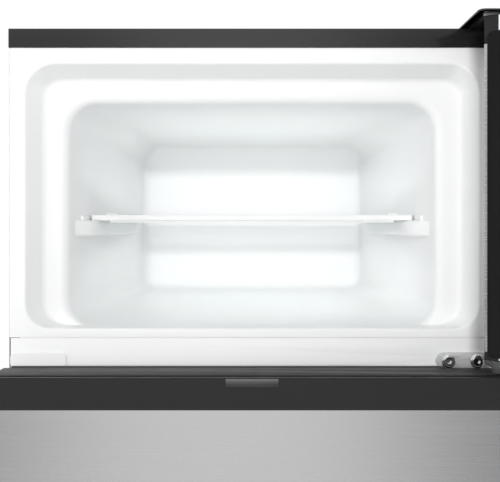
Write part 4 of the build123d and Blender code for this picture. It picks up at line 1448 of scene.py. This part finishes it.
@dataclass
class FreezerDoor(Door):
    """The upper door, which rests open."""

    body: str = "freezer_door"
    nodes: Sequence[str] = ("freezer_door_foam", "freezer_door_liner")
    racks: Sequence[str] = ("freezer_door_lower_rack", "freezer_door_upper_rack")
    bin_half: float = 0.195

    def hang(self, piece: Thing) -> Thing:
        """Swings a piece that was made closed to where the door rests.

        Args:
            piece: The piece.

        Returns:
            The same piece, turned about the hinge.
        """
        hinge = JOINTS["freezer_door_hinge"]
        pin = Vector((*hinge["pos_m"][:2], 0.0))
        turn = Matrix.Rotation(math.radians(-hinge["range_deg"][0]), 4, "Z")
        piece.data.transform(Matrix.Translation(pin) @ turn @ Matrix.Translation(-pin))
        return piece


@dataclass
class FridgeDoor(Door):
    """The lower door, with its finger groove, its tab and the dust lip over its seal."""

    body: str = "fridge_door"
    nodes: Sequence[str] = ("fridge_door_foam", "fridge_door_liner")
    racks: Sequence[str] = (
        "fridge_door_bottle_rack", "fridge_door_middle_rack", "fridge_door_upper_rack",
    )
    cap_level: float = 1.0334
    fin_x: Span = (-0.268, 0.2145)
    fin_y: Span = (-0.0048, -0.0024)
    fin_z: Span = (-0.004, 0.0046)
    fin_lean: float = 0.0008
    groove_y: Span = (-0.0562, -0.0455)
    groove_depth: float = 0.0019
    tab_groove_below: float = 0.0024
    tab_groove_half: float = 0.0007
    tab_groove_depth: float = 0.0010
    tab_round: float = 0.0002
    past_x: float = 0.30
    past_z: float = 0.01
    past_tab: float = 0.030

    def fin(self) -> Thing:
        """The thin dust lip that stands over the seal's upper run.

        Returns:
            The lip.
        """
        (left, right), (front, back) = self.fin_x, self.fin_y
        seal_top = extent(f"{self.body}_gasket").z[1]
        low, high = (seal_top + level for level in self.fin_z)
        corners = ((left, front), (right, front), (right, back), (left, back))
        piece = Bench.prism(f"{self.body}_seal_fin", corners, (low, high))
        with Bench.editing(piece, Kind.VERT):
            Bench.pick(Kind.VERT, lambda at, _: at.z > high - NEAR and at.y > back - NEAR)
            bpy.ops.transform.translate(value=(0, self.fin_lean, 0))
        Bench.bevel(piece, width=0.0005, segments=3, test=lambda at, way: at.z > high - NEAR)
        return Bench.smooth(piece)

    def cap(self) -> Thing:
        """The top cap, with the finger groove behind its front lip.

        Returns:
            The cap.
        """
        groove = (
            (-self.past_x, self.past_x), self.groove_y,
            (self.cap_level - self.groove_depth, self.cap_level + self.past_z),
        )
        name = f"{self.body}_cap_grooved"
        return Bench.grooved(name, f"{self.body}_top_cap", groove, self.edge_round)

    def tab(self) -> Thing:
        """The tab on the cap's front, with a groove along its middle.

        Returns:
            The tab.
        """
        front = extent("door_cap_tab").y[0]
        level, half = self.cap_level - self.tab_groove_below, self.tab_groove_half
        groove = (
            (-self.past_tab, self.past_tab), (front - 0.001, front + self.tab_groove_depth),
            (level - half, level + half),
        )
        return Bench.grooved("door_cap_tab_grooved", "door_cap_tab", groove, self.tab_round)

    def add_seal(self) -> None:
        """Seals the door and sets the dust lip over the seal."""
        super().add_seal()
        self.adopt(self.fin(), "gasket_rubber", finish=SEAL_LIP)

    def add_top(self) -> None:
        """Grooves the top cap and its tab, and paints shade on the tab, darker towards its lower
        edge.
        """
        self.adopt(self.cap(), "cap_grey", f"{self.body}_top_cap")
        self.adopt(self.tab(), "grey_plastic", "door_cap_tab", finish=TAB_PAINTED_SHADE)


@dataclass
class Hinges(Assembly):
    """The brackets, the cover over the top one and the bolts."""

    body: str = "cabinet"
    nodes: Sequence[str] = ("hinge_bolts",)
    softer: Sequence[tuple[str, float]] = (
        ("bottom_hinge_bracket", 0.0004), ("top_hinge_cover", 0.0005),
    )
    plate_round: float = 0.0004

    def shape(self) -> None:
        """Rounds the brackets and the cover, and paints shade onto the upper two brackets: onto the
        middle one's arm and onto the top one behind its front end.
        """
        self.soften("top_hinge_bracket", self.plate_round, BRACKET_PAINTED_SHADE)
        self.soften("middle_hinge_bracket", self.plate_round, ARM_PAINTED_SHADE)
        self.round_off()


@dataclass
class FreezerShelf(Assembly):
    """The sliding shelf's glass and rail."""

    body: str = "freezer_shelf"
    softer: Sequence[tuple[str, float]] = (
        ("freezer_shelf_glass", 0.0006), ("freezer_shelf_rail", 0.0006),
    )


@dataclass
class Controls(Assembly):
    """The thermostat's housing and dial marks, and the lamp."""

    body: str = "cabinet"
    nodes: Sequence[str] = ("lamp",)
    softer: Sequence[tuple[str, float]] = (("thermostat_housing", 0.0006), ("lamp_lens", 0.0005))
    marks: int = 9
    first_mark: float = -120.0
    mark_step: float = 30.0
    mark_half: float = 0.0006
    mark_y: Span = (-0.0004, 0.0006)
    mark_z: Span = (0.0152, 0.0168)

    def shape(self) -> None:
        """Rounds the housing and sets a ring of raised marks about the knob."""
        self.round_off()
        half = self.mark_half
        tick = Bench.box("dial_mark", (-half, half), self.mark_y, self.mark_z)
        Bench.bevel(tick, width=0.0002, segments=2, test=lambda at, way: at.y < 0)
        Bench.smooth(tick)
        dial = Matrix.Translation(JOINTS["thermostat_turn"]["pos_m"])
        for count in range(self.marks):
            angle = math.radians(self.first_mark + count * self.mark_step)
            move = dial @ Matrix.Rotation(angle, 4, "Y")
            self.adopt(Bench.repeat(tick, f"dial_mark_{count + 1}", move), "grey_plastic")
        bpy.data.objects.remove(tick)


@dataclass
class Moving(Assembly):
    """A small moving piece whose measured shape only needs softer edges."""

    width: float = 0.0005

    def shape(self) -> None:
        """Rounds its edges."""
        for node in frame["record"]["behaviour"]["bodies"][self.body]:
            self.soften(node, self.width)


@dataclass
class CoolingCircuit(Assembly):
    """The compressor on its grommets, the pan over it, the pipes and the condenser."""

    body: str = "cabinet"
    nodes: Sequence[str] = ("condenser", "refrigerant_pipes", "evaporator_tubing", "compressor")
    softer: Sequence[tuple[str, float]] = (("drain_pan", 0.0005), ("start_relay_box", 0.0008))
    foot_radius: float = 0.010
    waist: float = 0.78
    waist_reach: float = 0.0015

    def grommet(self, height: float) -> Thing:
        """A rubber foot with a waist, standing on its centre point.

        Args:
            height: Its height.

        Returns:
            The foot.
        """
        middle = height / 2
        foot = Bench.disc("compressor_grommet", (0, 0, 0), self.foot_radius, height)
        with Bench.editing(foot, Kind.FACE):
            for level in (middle - self.waist_reach, middle, middle + self.waist_reach):
                bpy.ops.mesh.select_all(action="SELECT")
                bpy.ops.mesh.bisect(plane_co=(0, 0, level), plane_no=(0, 0, 1))
            Bench.pick(Kind.VERT, lambda at, _: abs(at.z - middle) < 10 * NEAR)
            Bench.resize((self.waist, self.waist, 1), (0, 0, middle))
        Bench.bevel(
            foot, width=0.0012, segments=3,
            test=lambda at, way: at.z > height - NEAR or at.z < NEAR,
        )
        return Bench.smooth(foot, angle=50.0)

    def shape(self) -> None:
        """Sets the grommets and rounds the pan and the relay's box."""
        (left, right), (front, back), (foot, top) = extent("compressor_grommets")
        first, inset = self.grommet(top - foot), self.foot_radius
        across, along = (left + inset, right - inset), (front + inset, back - inset)
        places = [(x, y, foot) for x in across for y in along]
        for count, place in enumerate(places, start=1):
            stands_for = ("compressor_grommets",) if count == 1 else ()
            name = f"compressor_grommet_{count}"
            twin = Bench.repeat(first, name, Matrix.Translation(place))
            self.adopt(twin, "rubber_black", *stands_for)
        bpy.data.objects.remove(first)
        self.round_off()


# ---------------------------------------------------------------- studio
@dataclass(frozen=True)
class Falloff:
    """A smooth darkening: where it starts, where it is full and how dark it is there."""

    start: float
    end: float
    depth: float

    def over(self, signal: Signal) -> Signal:
        """The darkening along a signal."""
        return signal.between(self.start, self.end) * self.depth


@dataclass(frozen=True)
class Lamp:
    """A soft rectangular lamp: its place, what it points at, its width and height and its watts."""

    name: str
    place: Triple
    target: Triple
    size: Span
    power: float


@dataclass
class Studio:
    """The camera, the pale floor and the soft light."""

    eye: Triple = (0.0, -0.65, 1.1903)
    lens: float = 41.76
    sensor: float = 36.0
    shift: Span = (-0.004, -0.032)
    near_clip: float = 0.01
    floor_radius: float = 2.6
    floor_depth: float = 0.01
    floor_paint: Span = (0.80, 0.83)
    floor_in_gloss: float = 0.62
    fade_start: float = 1.2
    fade_margin: float = 0.1
    ambient: float = 0.36
    ambient_below: Falloff = Falloff(0.0, 0.8, 0.35)
    front: Span = (0.2, 0.7)
    right_dark: Falloff = Falloff(0.10, 0.55, 0.66)
    left_dark: Falloff = Falloff(0.20, 0.60, 0.55)
    floor_dark: Falloff = Falloff(0.24, 0.48, 0.95)
    lamps: Sequence[Lamp] = (
        Lamp("key", (-0.1, -2.6, 1.67), (0.0, 0.4, 1.20), (0.6, 0.14), 24.0),
        Lamp("front", (-0.2, -2.6, 1.16), (0.0, 0.4, 1.20), (0.8, 0.30), 13.0),
        Lamp("left_fill", (-2.2, -1.2, 1.6), (0.0, 0.1, 0.9), (1.2, 1.6), 15.0),
        Lamp("right_fill", (2.4, -1.0, 1.6), (0.0, 0.1, 0.9), (1.2, 1.6), 15.0),
        Lamp("back_fill", (0.6, 2.4, 1.8), (0.0, 0.3, 0.7), (1.6, 1.2), 22.0),
        Lamp("upper_glow", (0.0, 0.20, 1.213), (0.0, 0.22, 1.33), (0.36, 0.28), 0.15),
        Lamp("lower_glow", (0.0, 0.19, 1.170), (0.0, 0.20, 1.07), (0.36, 0.27), 0.13),
    )

    def camera(self) -> None:
        """Sets the camera where the picture was taken from, held level."""
        data = bpy.data.cameras.new("camera")
        data.lens = self.lens
        data.sensor_width = self.sensor
        data.shift_x, data.shift_y = self.shift
        data.clip_start = self.near_clip
        camera = bpy.data.objects.new("camera", data)
        camera.location = self.eye
        camera.rotation_euler = (math.pi / 2, 0, 0)
        bpy.context.scene.collection.objects.link(camera)
        bpy.context.scene.camera = camera

    @staticmethod
    def ray(graph: Graph, kind: str) -> Signal:
        """1 for rays of one kind."""
        return graph.node("ShaderNodeLightPath", output=f"Is {kind} Ray")

    @staticmethod
    def seen(graph: Graph) -> Signal:
        """1 for rays that should see a white room: from the camera, a gloss or a clear piece."""
        rays = (Studio.ray(graph, kind) for kind in ("Camera", "Glossy", "Transmission"))
        return sum(rays, 0.0).between(0.0, 1.0)

    def front_wall(self, graph: Graph) -> Signal:
        """What gloss sees: a white room whose front wall darkens to the sides and to the floor.

        Args:
            graph: The world's graph.

        Returns:
            The brightness, from 0 to 1.
        """
        across, back, up = (graph.axis(name, "Generated") for name in "XYZ")
        front = (0.0 - back).between(*self.front)
        sides = self.right_dark.over(across) + self.left_dark.over(0.0 - across)
        return 1.0 - front * (sides + self.floor_dark.over(0.0 - up))

    def world(self) -> None:
        """A white room that lights the object evenly."""
        world = bpy.data.worlds.new("room")
        world.use_nodes = True
        bpy.context.scene.world = world
        graph = Graph(world.node_tree)
        shown = 1.0 - self.ray(graph, "Glossy") * (1.0 - self.front_wall(graph))
        below = self.ambient_below.over(0.0 - graph.axis("Z", "Generated"))
        soft = self.ambient * (1.0 - below)
        inputs = {"Color": (1, 1, 1, 1), "Strength": self.seen(graph) * (shown - soft) + soft}
        light = graph.node("ShaderNodeBackground", {}, inputs)
        graph.node("ShaderNodeOutputWorld", {}, {"Surface": light})

    def floor(self) -> None:
        """A pale disc that fades into the white room."""
        depth = self.floor_depth
        disc = Bench.disc("floor", (0, 0, -depth), self.floor_radius, depth, sides=96)
        Bench.bevel(disc, width=0.004, segments=2, test=lambda at, way: at.z > -NEAR)
        material = bpy.data.materials.new("pale_floor")
        material.use_nodes = True
        graph = Graph(material.node_tree)
        dark, pale = ((grey, grey, grey) for grey in self.floor_paint)
        colour = {"Color": graph.blend(graph.noise(3.0), dark, pale)}
        paint = graph.node("ShaderNodeBsdfDiffuse", {}, colour)
        strength = 1.0 - self.ray(graph, "Glossy") * self.floor_in_gloss
        glow = {"Color": (1, 1, 1, 1), "Strength": strength}
        white = graph.node("ShaderNodeEmission", {}, glow)
        place = graph.node("ShaderNodeTexCoord", output="Object")
        reach = graph.node("ShaderNodeVectorMath", {"operation": "LENGTH"}, {0: place}, "Value")
        edge = reach.between(self.fade_start, self.floor_radius - self.fade_margin)
        inputs = {0: edge * self.seen(graph), 1: paint, 2: white}
        mixed = graph.node("ShaderNodeMixShader", {}, inputs)
        graph.node("ShaderNodeOutputMaterial", {}, {"Surface": mixed})
        disc.data.materials.append(material)

    def hang(self, lamp: Lamp) -> None:
        """Hangs a lamp that neither the camera nor a gloss sees.

        Args:
            lamp: The lamp.
        """
        data = bpy.data.lights.new(lamp.name, "AREA")
        data.shape = "RECTANGLE"
        data.size, data.size_y = lamp.size
        data.energy = lamp.power
        hung = bpy.data.objects.new(lamp.name, data)
        hung.location = lamp.place
        aim = Vector(lamp.target) - Vector(lamp.place)
        hung.rotation_euler = aim.to_track_quat("-Z", "Y").to_euler()
        hung.visible_camera = hung.visible_glossy = False
        bpy.context.scene.collection.objects.link(hung)

    def build(self) -> None:
        """Sets the whole studio."""
        bpy.context.scene.view_settings.view_transform = "Standard"
        self.camera()
        self.world()
        self.floor()
        for lamp in self.lamps:
            self.hang(lamp)
        log.info("Studio: camera, floor and %d lamps", len(self.lamps))


def main() -> None:
    """Builds the studio and every sub-assembly, in order."""
    Studio().build()
    small = ("crisper", "thermostat", "door_switch", "foot_left", "foot_right", "roller_left",
             "roller_right")
    assemblies = (
        Shell(), FreezerSpace(), FridgeSpace(), Hinges(), Controls(), FreezerDoor(), FridgeDoor(),
        FreezerShelf(), *(Moving(body) for body in small), CoolingCircuit(),
    )
    for assembly in assemblies:
        assembly.build()
    dressed = {name for assembly in assemblies for name in assembly.nodes}
    bare = [
        name for name, node in frame["nodes"].items()
        if not node.hide_render and name not in dressed
    ]
    if bare:
        log.warning("measured pieces with no finish: %s", ", ".join(bare))


if __name__ == "__main__":
    logging.basicConfig(level=logging.INFO, format="%(message)s")
    main()
